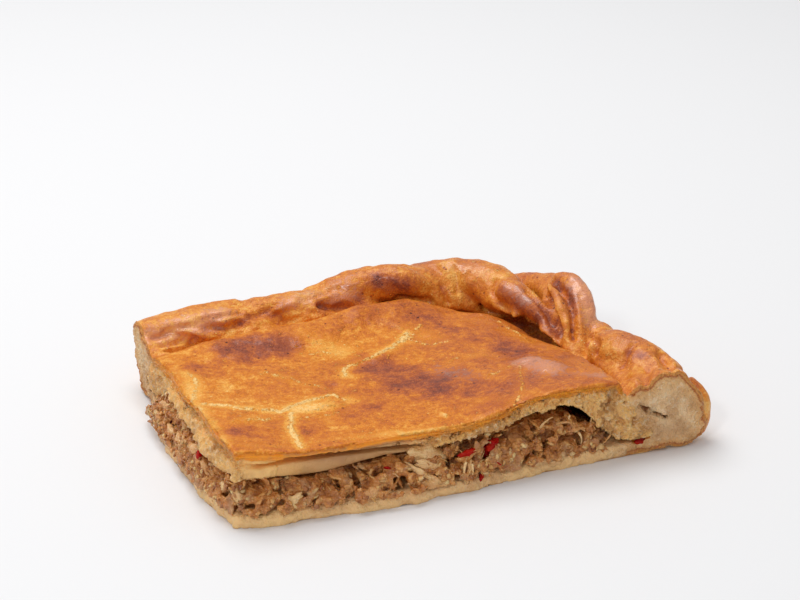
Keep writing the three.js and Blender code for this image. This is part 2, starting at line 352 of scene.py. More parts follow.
def roll_of_dough(name, route, radii):
    """A closed tapering tube along a route of places."""
    curve = bpy.data.curves.new(name, "CURVE")
    curve.dimensions = "3D"
    curve.bevel_depth = MM
    curve.bevel_resolution = 3
    curve.use_fill_caps = True
    spline = curve.splines.new("NURBS")
    spline.points.add(len(route) - 1)
    spline.use_endpoint_u = True
    spline.order_u = 3
    for point, place, radius in zip(spline.points, route, radii):
        point.co = (*place, 1)
        point.radius = radius
    roll = bpy.data.objects.new(name, curve)
    bpy.context.scene.collection.objects.link(roll)
    pick(roll)
    bpy.ops.object.convert(target="MESH")
    return roll


def melt(piece, rolls, grain, smoothing):
    """Joins rolls to a piece and melts them together."""
    pick(piece)
    for roll in rolls:
        roll.select_set(True)
    bpy.ops.object.join()
    apply(piece, "REMESH", mode="VOXEL", voxel_size=grain)
    apply(piece, "SMOOTH", factor=0.5, iterations=smoothing)


crust = copy_of("base_crust", "base_and_rim")
lift(crust, *BARREL_SINK)
rolls = []
for name, (rows, radii) in ROLLS.items():
    rolls.append(roll_of_dough(name, [at_height(*row) for row in rows], radii))
melt(crust, rolls, RIM_GRAIN, RIM_SOFTENING)
print("rim with", len(rolls), "rolls:", len(crust.data.polygons), "faces")

# %% Creases of the rim
# A stroke is a row of pixels, a width and a height, in millimetres.
CREASES = [
    ([(153, 354), (171, 351), (187, 348), (194, 341)], 1.8, -2.2),
    ([(160, 345), (180, 341), (196, 337)], 1.4, -1.7),
    ([(207, 326), (220, 327), (231, 326), (241, 321)], 3.0, -3.2),
    ([(152, 338), (172, 334), (190, 337)], 1.3, -1.6),
    ([(164, 331), (182, 327), (198, 325)], 1.4, -1.6),
    ([(200, 320), (220, 316), (240, 312)], 1.6, -1.7),
    ([(205, 332), (222, 334), (240, 330), (250, 324)], 1.5, -1.9),
    ([(214, 325), (228, 329), (243, 326)], 1.2, 0.7),
    ([(246, 316), (262, 312), (276, 306)], 1.4, -1.6),
    ([(270, 319), (282, 323), (296, 319)], 1.5, -1.0),
    ([(276, 310), (281, 311)], 2.4, 1.0),
    ([(290, 312), (306, 310), (318, 313)], 1.3, -1.5),
    ([(330, 298), (346, 296), (360, 299)], 1.4, -0.9),
    ([(300, 300), (315, 296), (330, 291)], 1.5, -1.2),
    ([(196, 335), (213, 333), (228, 331)], 1.6, 0.8),
    ([(214, 340), (228, 335), (246, 331)], 1.4, -1.2),
    ([(252, 317), (276, 315), (294, 308), (310, 303)], 1.8, -1.3),
    ([(262, 325), (285, 320), (303, 316)], 1.6, -1.0),
    ([(321, 303), (343, 306), (361, 305)], 3.2, -3.2),
    ([(400, 298), (415, 301), (430, 302)], 2.2, -2.0),
    ([(441, 285), (446, 297), (448, 303)], 1.4, -1.6),
    ([(455, 268), (457, 280), (457, 294)], 1.3, -1.3),
    ([(526, 290), (537, 300), (547, 314), (553, 324)], 1.6, -1.8),
    ([(497, 280), (494, 290), (498, 302), (508, 312)], 2.0, -1.6),
    ([(556, 284), (565, 290), (571, 302), (574, 318), (574, 336)], 2.2, -3.4),
    ([(548, 292), (552, 306), (556, 320), (560, 334)], 1.8, -2.2),
    ([(594, 334), (597, 344), (594, 354)], 1.8, -2.4),
    ([(634, 343), (627, 353), (621, 367)], 1.6, -1.3),
    ([(671, 366), (669, 372), (667, 382)], 1.5, -2.0),
    ([(662, 353), (667, 362), (669, 372)], 3.0, -2.6),
    ([(512, 319), (530, 331), (550, 341)], 4.0, -4.0),
]
press(crust, CREASES)
print(len(CREASES), "creases")

# %% [markdown]
# The two cuts.
# The knife left two flat faces with crisp edges, but the melted rolls bulge past them. Bisecting the mesh
# at each cut and filling the hole trims it as the knife did.

# %% Crisp cuts
# A cut is named by the axis that it is square to.
LEFT = 0
FRONT = 1
CUT_INSET = 0.5 * MM

pick(crust)
for cut in (LEFT, FRONT):
    blade = Vector((0, 0, 0))
    blade[cut] = 1
    place = knife_corner + blade * CUT_INSET
    bpy.ops.object.mode_set(mode="EDIT")
    bpy.ops.mesh.select_all(action="SELECT")
    bpy.ops.mesh.bisect(plane_co=place, plane_no=blade, use_fill=True, clear_inner=True)
    bpy.ops.object.mode_set(mode="OBJECT")
print("cut rim", len(crust.data.polygons), "faces")

# %% [markdown]
# The base's spread edge.
# Under the knife the soft base spread a few millimetres past both cuts, in an uneven lip. The lip's foot
# can be followed along the table in the picture, so a roll of dough is laid along it and melted in.

# %% The base's spread edge
BASE_LIP_RADIUS = 3.2
BASE_LIP_HEIGHT = 0.9
BASE_LIP_TAPER = [2.6, 1.4]
BASE_LIP_SOFTENING = 2
BASE_LIPS = {
    LEFT: [
        (236, 529), (223, 518), (212, 509), (201, 499), (190, 484), (177, 467), (165, 450), (152, 430),
        (146, 412),
    ],
    FRONT: [
        (236, 529), (252, 529), (270, 527), (288, 525), (306, 520), (327, 518), (347, 514), (366, 513),
        (386, 509), (403, 507), (420, 504), (432, 498), (441, 497), (460, 494), (479, 490), (500, 484),
        (520, 480), (540, 474), (560, 470), (600, 461), (640, 453), (668, 447),
    ],
}


def lip_foot(cut):
    """The places on the table along the foot of the base's lip at one cut."""
    return np.array([at_height(*pixel, 0) for pixel in BASE_LIPS[cut]])


def lip_of_dough(cut):
    """A tapering roll that stands on the lip's foot."""
    route = lip_foot(cut)
    route[:, cut] += BASE_LIP_RADIUS * MM
    route[:, 2] = BASE_LIP_HEIGHT * MM
    radii = [BASE_LIP_RADIUS] * (len(route) - len(BASE_LIP_TAPER)) + BASE_LIP_TAPER
    return roll_of_dough("base_lip", route, radii)


def stand_on_table(piece):
    """Presses flat what reaches below the table."""
    points = places(piece)
    points[:, 2] = np.maximum(points[:, 2], 0)
    put(piece, points)


melt(crust, [lip_of_dough(cut) for cut in BASE_LIPS], RIM_GRAIN, BASE_LIP_SOFTENING)
stand_on_table(crust)
bpy.ops.object.shade_smooth()
print("base spread at both cuts", len(crust.data.polygons), "faces")

# %% [markdown]
# Faces where they show.
# The remesh makes small faces everywhere, also on the table side and under the filling. Those are thinned.
# The cut faces are split in four instead, because crumb has the finest relief.

# %% Thin the hidden faces and refine the cut ones
CUT_REACH = 1.2 * MM
TABLE_SIDE = 0.4 * MM
ROPE_INSIDE = -9.0
FILLED_BELOW = 10 * MM
SHOWN_EDGE = 4 * MM
THINNED = 0.12
FACING_OUT = -0.5
FACING_UP = 0.3
FACING_DOWN = -0.9


def faces_of(piece):
    """The middle of each face and the way it faces."""
    return values_of(piece.data.polygons, "center"), values_of(piece.data.polygons, "normal")


def edit_faces(piece, chosen):
    """Opens edit mode with only the chosen faces selected."""
    pick(piece)
    bpy.context.tool_settings.mesh_select_mode = (False, False, True)
    bpy.ops.object.mode_set(mode="EDIT")
    bpy.ops.mesh.select_all(action="DESELECT")
    bpy.ops.object.mode_set(mode="OBJECT")
    piece.data.polygons.foreach_set("select", chosen)
    bpy.ops.object.mode_set(mode="EDIT")


def thin(piece, chosen, share):
    """Keeps only a share of the chosen faces."""
    edit_faces(piece, chosen)
    bpy.ops.mesh.decimate(ratio=share)
    bpy.ops.object.mode_set(mode="OBJECT")


def finer(piece, chosen):
    """Splits the chosen faces in four."""
    edit_faces(piece, chosen)
    bpy.ops.mesh.subdivide(number_cuts=1)
    bpy.ops.object.mode_set(mode="OBJECT")


def behind_cuts(points):
    """How far behind the nearer cut each place is."""
    return np.min(points[:, :2] - np.array(knife_corner)[:2], axis=1)


def on_cut(points, normals, reach):
    """True on the two faces that the knife left."""
    left = (points[:, 0] - knife_corner.x < reach) & (normals[:, 0] < FACING_OUT)
    front = (points[:, 1] - knife_corner.y < reach) & (normals[:, 1] < FACING_OUT)
    return left | front


middles, facing = faces_of(crust)
_, out = along_rim(middles)
table_side = (middles[:, 2] < TABLE_SIDE) & (facing[:, 2] < FACING_DOWN)
under_filling = (out < ROPE_INSIDE) & (facing[:, 2] > FACING_UP) & (middles[:, 2] < FILLED_BELOW)
under_filling &= behind_cuts(middles) > SHOWN_EDGE
thin(crust, table_side | under_filling, THINNED)
finer(crust, on_cut(*faces_of(crust), CUT_REACH))
print("rim", len(crust.data.polygons), "faces after thinning and refining")

# %% [markdown]
# The rim's surface.
# Baked skin is softly lumpy, while the crumb at the cuts is torn and full of small holes. Noise of several
# sizes displaces both, and a vertex group keeps each noise to its own part. VORONOI noise makes grains.

# %% Dough surface of the rim
RIM_RELIEF = [
    ("skin", 7.0, 0.9, "CLOUDS"),
    ("skin", 2.4, 0.3, "CLOUDS"),
    ("skin", 0.9, 0.1, "CLOUDS"),
    ("crumb", 4.0, 1.6, "CLOUDS"),
    ("crumb", 1.5, -0.7, "VORONOI"),
    ("crumb", 0.8, 0.7, "CLOUDS"),
    ("base_edge", 5.0, 2.0, "CLOUDS"),
    ("base_edge", 1.4, 0.7, "CLOUDS"),
]
THICK_END = (-13, -9)
UNDERNEATH = -0.5
CUT_SLITS = [
    ([(641, 407), (649, 411)], 1.3, -4.0),
    ([(648, 411), (657, 414), (668, 418)], 0.7, -3.0),
]


def group(piece, name, weights):
    """Keeps a share for each vertex as a vertex group, which a modifier can read."""
    made = piece.vertex_groups.new(name=name)
    for number in np.flatnonzero(weights > 0.001):
        made.add([int(number)], float(weights[number]), "REPLACE")


def roughen(piece, relief):
    """Pushes the surface in and out with noise, by rows of (vertex group, grain size, height, kind)."""
    for share, size, height, kind in relief:
        texture = bpy.data.textures.new(f"{piece.name}_{size:.1f}_mm", kind)
        texture.noise_scale = size * MM
        settings = {"texture_coords": "LOCAL", "strength": height * MM, "mid_level": 0.5}
        apply(piece, "DISPLACE", texture=texture, vertex_group=share, **settings)


def beyond_cut(points, normals):
    """True on what stands out in front of the cuts, but not on its underside."""
    return (behind_cuts(points) < 0) & (normals[:, 2] > UNDERNEATH)


points = places(crust)
normals = outward(crust)
crust_cut = on_cut(points, normals, CUT_REACH) | beyond_cut(points, normals)
_, out = along_rim(points)
thick_end = smooth_step(out, *THICK_END)
group(crust, "crumb", crust_cut * thick_end)
group(crust, "base_edge", crust_cut * (1 - thick_end))
group(crust, "skin", 1.0 - crust_cut)
roughen(crust, RIM_RELIEF)
stand_on_table(crust)
press(crust, CUT_SLITS)
print("rim roughened by", len(RIM_RELIEF), "noises")

# %% [markdown]
# The lid.
# The lid is one flat sheet of dough that puffed near the rim and sank beside it. Its grid is turned back to
# quads and subdivided, so the dome is smooth and the knife's edges stay crisp, before the remesh.

# %% The lid as dough
LID_GRAIN = 0.6 * MM
SHARP = math.radians(45)

lid = copy_of("lid_crust", "baked_lid")
bpy.ops.object.mode_set(mode="EDIT")
bpy.ops.mesh.tris_convert_to_quads(face_threshold=SHARP, shape_threshold=SHARP)
bpy.context.tool_settings.mesh_select_mode = (False, True, False)
bpy.ops.mesh.select_all(action="DESELECT")
bpy.ops.mesh.edges_select_sharp(sharpness=SHARP)
bpy.ops.transform.edge_crease(value=1)
bpy.ops.object.mode_set(mode="OBJECT")
apply(lid, "SUBSURF", levels=2, render_levels=2)
apply(lid, "REMESH", mode="VOXEL", voxel_size=LID_GRAIN)
bpy.ops.object.shade_smooth()
print("lid", len(lid.data.polygons), "faces")

# %% The lid rises at the back and sinks beside the corner pleats
REAR_RISE = (3.2, (0, 30, 78, 100), (-34, -15))
ROLL_RISE = (2.0, (52, 68, 80, 94), (-26, -12))
CORNER_SINK = (-4.0, (96, 116, 150, 172), (-24, -13))

for rise in (REAR_RISE, ROLL_RISE, CORNER_SINK):
    lift(lid, *rise)
print("lid", len(lid.data.vertices), "points, shaped beside the rim")

# %% [markdown]
# The split front edge.
# Along the front cut the lid came apart: a thin golden layer overhangs a smooth pale slab, with a dark gap
# between them. The line under the golden layer is read off the picture. What lies below it is pushed back,
# and the gap further still.

# %% The split front edge
EDGE_FACES = 3.5 * MM
SKIN_EDGE = np.array([
    (225, 461), (262, 462), (290, 457), (330, 452), (370, 448), (412, 443),
    (450, 437), (500, 425), (540, 412), (580, 398), (620, 388), (660, 380),
])
# A profile is some pixels across the picture and the depth in millimetres at each.
SLAB_RECESS = ([225, 262, 300, 390, 420, 450], [0.2, 2.0, 3.8, 3.8, 2.0, 0.6])
RECESS_STARTS = (0, 4)
GAP_DEPTH = ([245, 285, 400, 425], [0.0, 5.0, 5.0, 0.0])
GAP_OPENS = (3, 5)
GAP_CLOSES = (8, 11)
SPLIT_DEPTH = 6 * MM


def pixels_of(points):
    """The pixel at which the camera sees each place."""
    seen = (points - np.array(camera.location)) @ np.array(camera.matrix_world.to_3x3())
    return np.stack([
        PICTURE[0] / 2 - FOCAL_PIXELS * seen[:, 0] / seen[:, 2],
        PICTURE[1] / 2 + FOCAL_PIXELS * seen[:, 1] / seen[:, 2],
    ], 1)


finer(lid, on_cut(*faces_of(lid), EDGE_FACES))
points = places(lid)
across, down = pixels_of(points).T
below = down - np.interp(across, SKIN_EDGE[:, 0], SKIN_EDGE[:, 1])
recess = np.interp(across, *SLAB_RECESS) * smooth_step(below, *RECESS_STARTS)
gap_share = smooth_step(below, *GAP_OPENS) * (1 - smooth_step(below, *GAP_CLOSES))
gap = np.interp(across, *GAP_DEPTH) * gap_share
front_share = 1 - smooth_step(points[:, 1] - knife_corner.y, 0, SPLIT_DEPTH)
points[:, 1] += (recess + gap) * front_share * MM
put(lid, points)
middles, facing = faces_of(lid)
thin(lid, (facing[:, 2] < -FACING_UP) & (behind_cuts(middles) > SPLIT_DEPTH), THINNED)
print("lid", len(lid.data.polygons), "faces after the edge is split")

# %% [markdown]
# Cracks of the lid.
# Where the dough stretched in the oven, the glaze cracked. A crack is a pair of raised lips with a furrow
# between them, so it is pressed into the mesh, which is made finer there. Seeded chance bends it.

# %% Cracks and blisters
# A crack is a row of pixels and a size.
CRACKS = [
    ([(345, 376), (345, 368), (357, 363), (372, 357), (386, 350), (399, 342), (408, 333)], 1.0),
    ([(399, 342), (417, 341), (432, 344), (448, 341)], 0.8),
    ([(203, 404), (229, 406), (254, 409), (281, 412), (296, 404), (316, 399), (334, 395), (345, 399)], 0.9),
    ([(265, 373), (290, 379), (305, 384), (321, 386), (334, 393)], 0.6),
    ([(292, 413), (290, 428), (296, 437), (301, 447)], 1.1),
    ([(234, 422), (254, 419), (276, 418)], 0.6),
    ([(189, 375), (196, 382), (194, 397), (191, 406)], 0.8),
    ([(520, 366), (521, 380), (518, 398), (507, 411)], 0.7),
    ([(487, 377), (498, 372), (510, 367)], 0.75),
    ([(478, 313), (500, 322), (527, 341), (560, 345), (590, 361)], 0.7),
    ([(308, 410), (326, 406), (346, 404)], 0.55),
    ([(304, 417), (324, 414), (342, 412)], 0.55),
    ([(294, 347), (314, 343), (336, 347)], 0.55),
    ([(300, 354), (320, 352), (342, 356)], 0.5),
    ([(400, 343), (412, 336), (420, 326)], 0.6),
]
CRACK_HALVINGS = 3
CRACK_SWAY = 0.07
CRACK_ZONE = 2.4
CRACK_LIP_WIDTH = 1.3
CRACK_LIP_HEIGHT = 0.35
FURROW_WIDTH = 0.6
FURROW_DEPTH = -0.4
BLISTERS = [
    ([(533, 362), (549, 367)], 8.0, 1.3),
    ([(440, 414), (446, 416)], 1.3, 0.9),
    ([(512, 372), (506, 392), (496, 408)], 6.0, 0.7),
    ([(390, 350), (370, 360)], 6.0, 0.6),
    ([(506, 317), (528, 331), (550, 343)], 3.5, -3.0),
]


def ragged(pixels, dice):
    """A row of pixels with torn bends between them, as a crack runs."""
    row = [np.array(pixel, float) for pixel in pixels]
    for _ in range(CRACK_HALVINGS):
        finer_row = [row[0]]
        for start, end in zip(row[:-1], row[1:]):
            way = end - start
            bend = dice.normal(0, CRACK_SWAY) * np.array((-way[1], way[0]))
            finer_row += [(start + end) / 2 + bend, end]
        row = finer_row
    return [tuple(pixel) for pixel in row]


def painted_near(points, skin, strokes):
    """The strongest of several (pixels, width, strength) strokes at each point."""
    shares = []
    for pixels, width, strength in strokes:
        shares.append(strength * near(points, path_on(skin, pixels), width * MM))
    return np.max(shares, axis=0)


crack_dice = np.random.default_rng(5)
torn_cracks = [(ragged(pixels, crack_dice), size) for pixels, size in CRACKS]
crack_zone = [(row, CRACK_ZONE, 1) for row, _ in torn_cracks]
finer(lid, painted_near(faces_of(lid)[0], skin_of(lid), crack_zone) > 0)
press(lid, BLISTERS)
press(lid, [(row, CRACK_LIP_WIDTH * size, CRACK_LIP_HEIGHT * size) for row, size in torn_cracks])
press(lid, [(row, FURROW_WIDTH * size, FURROW_DEPTH * size) for row, size in torn_cracks])
print(len(CRACKS), "cracks and", len(BLISTERS), "blisters and hollows")

# %% [markdown]
# Browning of the lid.
# The glaze browned in patches and stayed pale along the cracks. Patches like these follow the oven and the
# dough, not a pattern, so they are strokes again, painted on the mesh as masks for the finish to read. One
# dark stroke is painted shade in the hollow under the corner lobe, and the shiny strokes also carry a
# pinkish painted highlight.

# %% Browned, shaded, pale and shiny areas
HALO_WIDTH = 4.5
HALO_STRENGTH = 0.8
PALE_AREAS = [
    ([(296, 410), (322, 407), (350, 400)], 7.0, 0.9),
    ([(300, 345), (325, 347), (340, 352)], 11.0, 0.7),
    ([(348, 366), (380, 352), (405, 338)], 6.0, 0.6),
    ([(405, 330), (440, 340)], 8.0, 0.5),
    ([(185, 372), (195, 405), (215, 425), (228, 445)], 4.5, 0.7),
    ([(292, 418), (297, 436), (301, 448)], 3.5, 0.8),
    ([(240, 446), (330, 440), (400, 430)], 4.0, 0.5),
    ([(441, 414), (446, 416)], 1.6, 0.8),
    ([(400, 433), (450, 429), (500, 416), (550, 399), (600, 387), (622, 382)], 3.0, 0.7),
    ([(470, 318), (500, 328), (530, 342), (560, 350)], 6.0, 0.5),
    ([(480, 400), (520, 410), (550, 398)], 6.0, 0.45),
    ([(575, 360), (600, 372), (620, 381)], 6.0, 0.5),
    ([(450, 362), (480, 354), (510, 357)], 5.0, 0.45),
]
BROWNED_AND_SHADED_AREAS = [
    ([(384, 370), (404, 379), (428, 386)], 19.0, 0.85),
    ([(238, 351), (260, 348), (280, 344)], 12.0, 1.1),
    ([(190, 368), (215, 362)], 8.0, 0.5),
    ([(228, 432), (250, 430)], 8.0, 0.55),
    ([(308, 430), (335, 427)], 8.0, 0.5),
    ([(465, 378), (500, 384), (545, 380)], 16.0, 0.5),
    ([(440, 325), (480, 335), (520, 350)], 12.0, 0.45),
    ([(330, 385), (350, 415), (380, 408)], 7.0, 0.4),
    # Painted shade in the hollow under the corner lobe.
    ([(508, 316), (528, 329), (550, 341)], 3.5, 1.6),
]
# Shiny glaze: these strokes add coat and blend a pinkish painted highlight into the colour.
LID_SHINE_AND_HIGHLIGHT = [
    ([(528, 360), (552, 367)], 9.0, 1.0),
    ([(575, 372), (600, 376)], 6.0, 0.6),
    ([(440, 370), (470, 376)], 9.0, 0.5),
]

lid_skin = skin_of(lid)
points = places(lid)
lid_crack = painted_near(points, lid_skin, [(row, CRACK_LIP_WIDTH * size, size) for row, size in torn_cracks])
lid_halo = painted_near(points, lid_skin, [(row, HALO_WIDTH, size) for row, size in CRACKS])
lid_pale = np.maximum(HALO_STRENGTH * lid_halo, painted_near(points, lid_skin, PALE_AREAS))
lid_browned_and_shaded = painted_near(points, lid_skin, BROWNED_AND_SHADED_AREAS)
lid_shine_and_highlight = painted_near(points, lid_skin, LID_SHINE_AND_HIGHLIGHT)
print(len(PALE_AREAS), "pale,", len(BROWNED_AND_SHADED_AREAS), "dark and", len(LID_SHINE_AND_HIGHLIGHT), "shiny areas")

# %% [markdown]
# Crumb and skin.
# Where the knife went through, the crust shows a thin brown skin and then pale crumb. The finish needs to
# know how deep each point lies under the skin. The lid's skin is what lies near its top and faces up, and
# every other point is measured to the nearest point of it.

# %% How deep under the lid's skin
SKIN_THICKNESS = 1.4 * MM
SKIN_FACES_UP = 0.2
LID_TOP_INSET = 3 * MM
ABOVE_LID = 50 * MM
FUSED_END = -13.5
FUSED_REACH = 4.0 * MM
THINNER_SKIN = (420, 490)
THINNER_SHARE = 0.4


def under_skin(piece, is_skin):
    """How deep under the nearest skin each vertex lies, in millimetres."""
    points = places(piece)
    search = KDTree(int(is_skin.sum()))
    for number, point in enumerate(points[is_skin]):
        search.insert(point, number)
    search.balance()
    depth = np.zeros(len(points))
    for number in np.flatnonzero(~is_skin):
        depth[number] = search.find(points[number])[2] / MM
    return depth


def lid_height(x, y):
    """The height of the lid's top, read a little behind the cuts."""
    behind_left = max(x, knife_corner.x + LID_TOP_INSET)
    behind_front = max(y, knife_corner.y + LID_TOP_INSET)
    hit = lid_skin.ray_cast(Vector((behind_left, behind_front, ABOVE_LID)), (0, 0, -1))[0]
    return hit.z if hit else 0.0


points = places(lid)
normals = outward(lid)
across = pixels_of(points)[:, 0]
from_cuts = behind_cuts(points)
tops = np.array([lid_height(x, y) for x, y, _ in points])
_, out = along_rim(points)
fused = (out > FUSED_END) & (from_cuts < FUSED_REACH)
lid_is_skin = (points[:, 2] > tops - SKIN_THICKNESS) & (normals[:, 2] > SKIN_FACES_UP) & ~fused
lid_depth = under_skin(lid, lid_is_skin)
lid_depth *= 1 + THINNER_SHARE * smooth_step(across, *THINNER_SKIN)
print("lid skin", int(lid_is_skin.sum()), "of", len(points), "points")

# %% [markdown]
# The lid's cut edge.
# Under the lid's skin lie a few thin baked leaves, and below them moist crumb: smooth where the slab shows,
# torn elsewhere. Waves that follow the depth under the skin press the leaves in. The left cut leans
# outwards towards its foot, so its faces are moved out by a share of their height below the lid's top.

# %% Leaves and torn crumb of the lid
LEAF_PITCH = 1.0
LEAF_DEPTH = 0.25 * MM
LEAVES_END = 3.2
LEAF_WANDER = 1.5
LEFT_SLOPE = 0.25
SLOPE_STARTS = (4 * MM, 22 * MM)
SLOPE_ENDS = (45 * MM, 75 * MM)
CRUMB_STARTS = (1.5, 3.0)
SLAB_STARTS = (232, 250)
SLAB_ENDS = (395, 440)
LEFT_TORN = 0.5
CHIPPED_EDGE = 1.8 * MM
LID_RELIEF = [
    ("skin", 14.0, 1.6, "CLOUDS"),
    ("skin", 5.0, 0.7, "CLOUDS"),
    ("skin", 1.5, 0.2, "CLOUDS"),
    ("chipped", 2.4, 1.2, "CLOUDS"),
    ("crumb", 7.0, 2.2, "CLOUDS"),
    ("crumb", 3.0, 0.9, "CLOUDS"),
    ("crumb", 0.9, 0.35, "CLOUDS"),
    ("torn", 3.0, 3.4, "CLOUDS"),
    ("torn", 1.4, -1.2, "VORONOI"),
    ("torn", 0.7, 0.8, "CLOUDS"),
]

lid_cut = on_cut(points, normals, EDGE_FACES).astype(float)
wander = LEAF_WANDER * (np.sin(90 * points[:, 0]) + np.sin(210 * points[:, 0] + 130 * points[:, 1]))
leaves = np.sin(2 * math.pi * lid_depth / LEAF_PITCH + wander) * (lid_depth < LEAVES_END)
from_knife = points - np.array(knife_corner)
on_left = lid_cut * (normals[:, 0] < FACING_OUT) * (from_knife[:, 0] < EDGE_FACES)
sloped = smooth_step(from_knife[:, 1], *SLOPE_STARTS) * (1 - smooth_step(from_knife[:, 1], *SLOPE_ENDS))
points[:, 0] -= LEFT_SLOPE * sloped * (tops - points[:, 2]) * on_left
put(lid, points + normals * (leaves * lid_cut * LEAF_DEPTH)[:, None])
deep_cut = lid_cut * smooth_step(lid_depth, *CRUMB_STARTS)
slab_end = 1 - smooth_step(across, *SLAB_ENDS)
smooth_slab = smooth_step(across, *SLAB_STARTS) * slab_end
group(lid, "skin", lid_is_skin.astype(float))
group(lid, "chipped", lid_is_skin * (1 - smooth_step(from_cuts, 0, CHIPPED_EDGE)))
group(lid, "crumb", deep_cut)
group(lid, "torn", deep_cut * (1 - smooth_slab) * (1 - LEFT_TORN * on_left))
roughen(lid, LID_RELIEF)
print("lid roughened by", len(LID_RELIEF), "noises")

# %% [markdown]
# The lid's masks.
# The finish reads what is painted on the mesh: the depth under the skin, the cracks, the browned and pale
# areas, with painted shade under the corner lobe, the shiny areas, which also carry a painted highlight,
# and the creases, in which the glaze pools and browns and which also carry painted shade. A crease is
# where the surface lies under its own smoothed copy. Painted shade lies on the slab's right part.

# %% Masks of the lid
CREASE_SOFTENING = 14
# Painted shade on the slab's right part, rising to the right.
CRUMB_SHADE_STARTS = (270, 330)
CRUMB_SHADE_SHARE = 0.6


def paint(piece, **masks):
    """Stores one number for each vertex under each name."""
    for name, values in masks.items():
        layer = piece.data.attributes.new(name, "FLOAT", "POINT")
        layer.data.foreach_set("value", np.asarray(values, np.float32))


def hollows(piece, softening):
    """How far each vertex lies under its smoothed surroundings, in millimetres: creases are positive."""
    soft = piece.copy()
    soft.data = piece.data.copy()
    bpy.context.scene.collection.objects.link(soft)
    apply(soft, "SMOOTH", factor=0.5, iterations=softening)
    gap = np.sum((places(soft) - places(piece)) * outward(piece), 1) / MM
    bpy.data.objects.remove(soft)
    return gap


lid_hollow = hollows(lid, CREASE_SOFTENING)
# Painted shade on the slab's right part.
damp = CRUMB_SHADE_SHARE * smooth_step(across, *CRUMB_SHADE_STARTS) * slab_end
paint(lid, depth=lid_depth, hollow=lid_hollow, crack=lid_crack)
paint(lid, pale=lid_pale, dark=lid_browned_and_shaded, sheen=lid_shine_and_highlight, smooth=smooth_slab, damp=damp)
print("deepest crease of the lid", round(float(lid_hollow.max()), 2), "mm")

# %% [markdown]
# The rim's masks.
# The rim is browned, pale and shiny in places too. The browned strokes include painted shade in the hollow
# under the corner lobe, the shiny ones carry a painted highlight, and painted shade lies on the crumb at
# the bottom of the rim's cut end. Crumb shows at the cuts, inside against the filling, and where the lid
# is tucked in.

# %% Skin and crumb of the rim
LID_CONTACT = 1.6 * MM
FILLING_HEIGHTS = (2, 9)
THIN_BASE = -11
BASE_DEPTH = 4.0
UNDERSIDE = (0.6, 0.95)
UNDERSIDE_PALE = 0.6
SMOOTH_BASE = (-24, -8)
SMOOTH_SHARE = 0.7
RIM_PALE = [
    ([(446, 265), (455, 278), (459, 292)], 7.0, 0.9),
    ([(470, 270), (500, 277)], 7.0, 0.6),
    ([(606, 345), (622, 352)], 7.0, 0.5),
    ([(300, 296), (330, 290)], 6.0, 0.5),
    ([(556, 300), (562, 320)], 3.0, 0.6),
    ([(700, 396), (708, 408)], 4.0, 0.7),
    ([(676, 372), (700, 378)], 4.0, 0.6),
    ([(640, 450), (665, 447), (692, 438)], 5.0, 0.8),
]
RIM_BROWNED_AND_SHADED = [
    ([(504, 292), (522, 302), (540, 318), (554, 332)], 7.0, 0.9),
    ([(205, 328), (222, 328), (244, 322)], 4.0, 0.7),
    ([(322, 303), (358, 305)], 6.0, 0.8),
    ([(556, 284), (570, 292), (575, 315)], 3.5, 0.7),
    ([(566, 275), (585, 288), (590, 305)], 6.0, 0.3),
    ([(378, 281), (405, 285)], 6.0, 0.7),
    ([(629, 353), (641, 355)], 3.5, 0.6),
    ([(240, 318), (270, 314), (300, 308)], 5.0, 0.4),
    # Painted shade in the hollow under the corner lobe.
    ([(500, 320), (520, 333), (545, 346)], 5.0, 1.6),
    ([(698, 422), (704, 430), (692, 438)], 4.0, 0.8),
]
# Shiny glaze: these strokes add coat and blend a pinkish painted highlight into the colour.
RIM_SHINE_AND_HIGHLIGHT = [
    ([(574, 282), (588, 296), (591, 318)], 6.5, 1.2),
    ([(152, 340), (176, 332), (200, 324), (222, 312)], 8.0, 1.0),
    ([(290, 302), (320, 294), (350, 287)], 7.0, 0.8),
    ([(508, 288), (528, 301)], 4.0, 0.8),
    ([(450, 266), (480, 268)], 5.0, 0.6),
]
# Painted shade on the crumb at the bottom of the rim's cut end.
RIM_CRUMB_SHADE = [
    ([(630, 418), (642, 429), (658, 433), (678, 428)], 6.0, 0.45),
]

points = places(crust)
normals = outward(crust)
rim_skin = skin_of(crust)
lid_skin = skin_of(lid)
_, out = along_rim(points)
height = points[:, 2] / MM
inside = (out < ROPE_INSIDE) & (height > FILLING_HEIGHTS[0]) & (height < FILLING_HEIGHTS[1])
inside &= normals[:, 2] > FACING_UP
lid_gap = np.array([lid_skin.find_nearest(point)[3] for point in points])
crust_is_skin = ~(crust_cut | inside | (lid_gap < LID_CONTACT))
depth = under_skin(crust, crust_is_skin)
depth = np.where(~crust_is_skin & (out < THIN_BASE), np.maximum(depth, BASE_DEPTH), depth)
underside = UNDERSIDE_PALE * smooth_step(-normals[:, 2], *UNDERSIDE)
# Painted shade on the crumb at the bottom of the rim's cut end.
damp = painted_near(points, rim_skin, RIM_CRUMB_SHADE)
paint(crust, depth=depth * (crust_cut | inside), hollow=hollows(crust, CREASE_SOFTENING))
paint(crust, crack=np.zeros(len(points)))
paint(crust, pale=np.maximum(underside, painted_near(points, rim_skin, RIM_PALE)))
paint(crust, dark=painted_near(points, rim_skin, RIM_BROWNED_AND_SHADED), sheen=painted_near(points, rim_skin, RIM_SHINE_AND_HIGHLIGHT))
paint(crust, damp=damp, smooth=np.maximum(damp, SMOOTH_SHARE * (1 - smooth_step(out, *SMOOTH_BASE))))
print("rim skin", int(crust_is_skin.sum()), "of", len(points), "points")

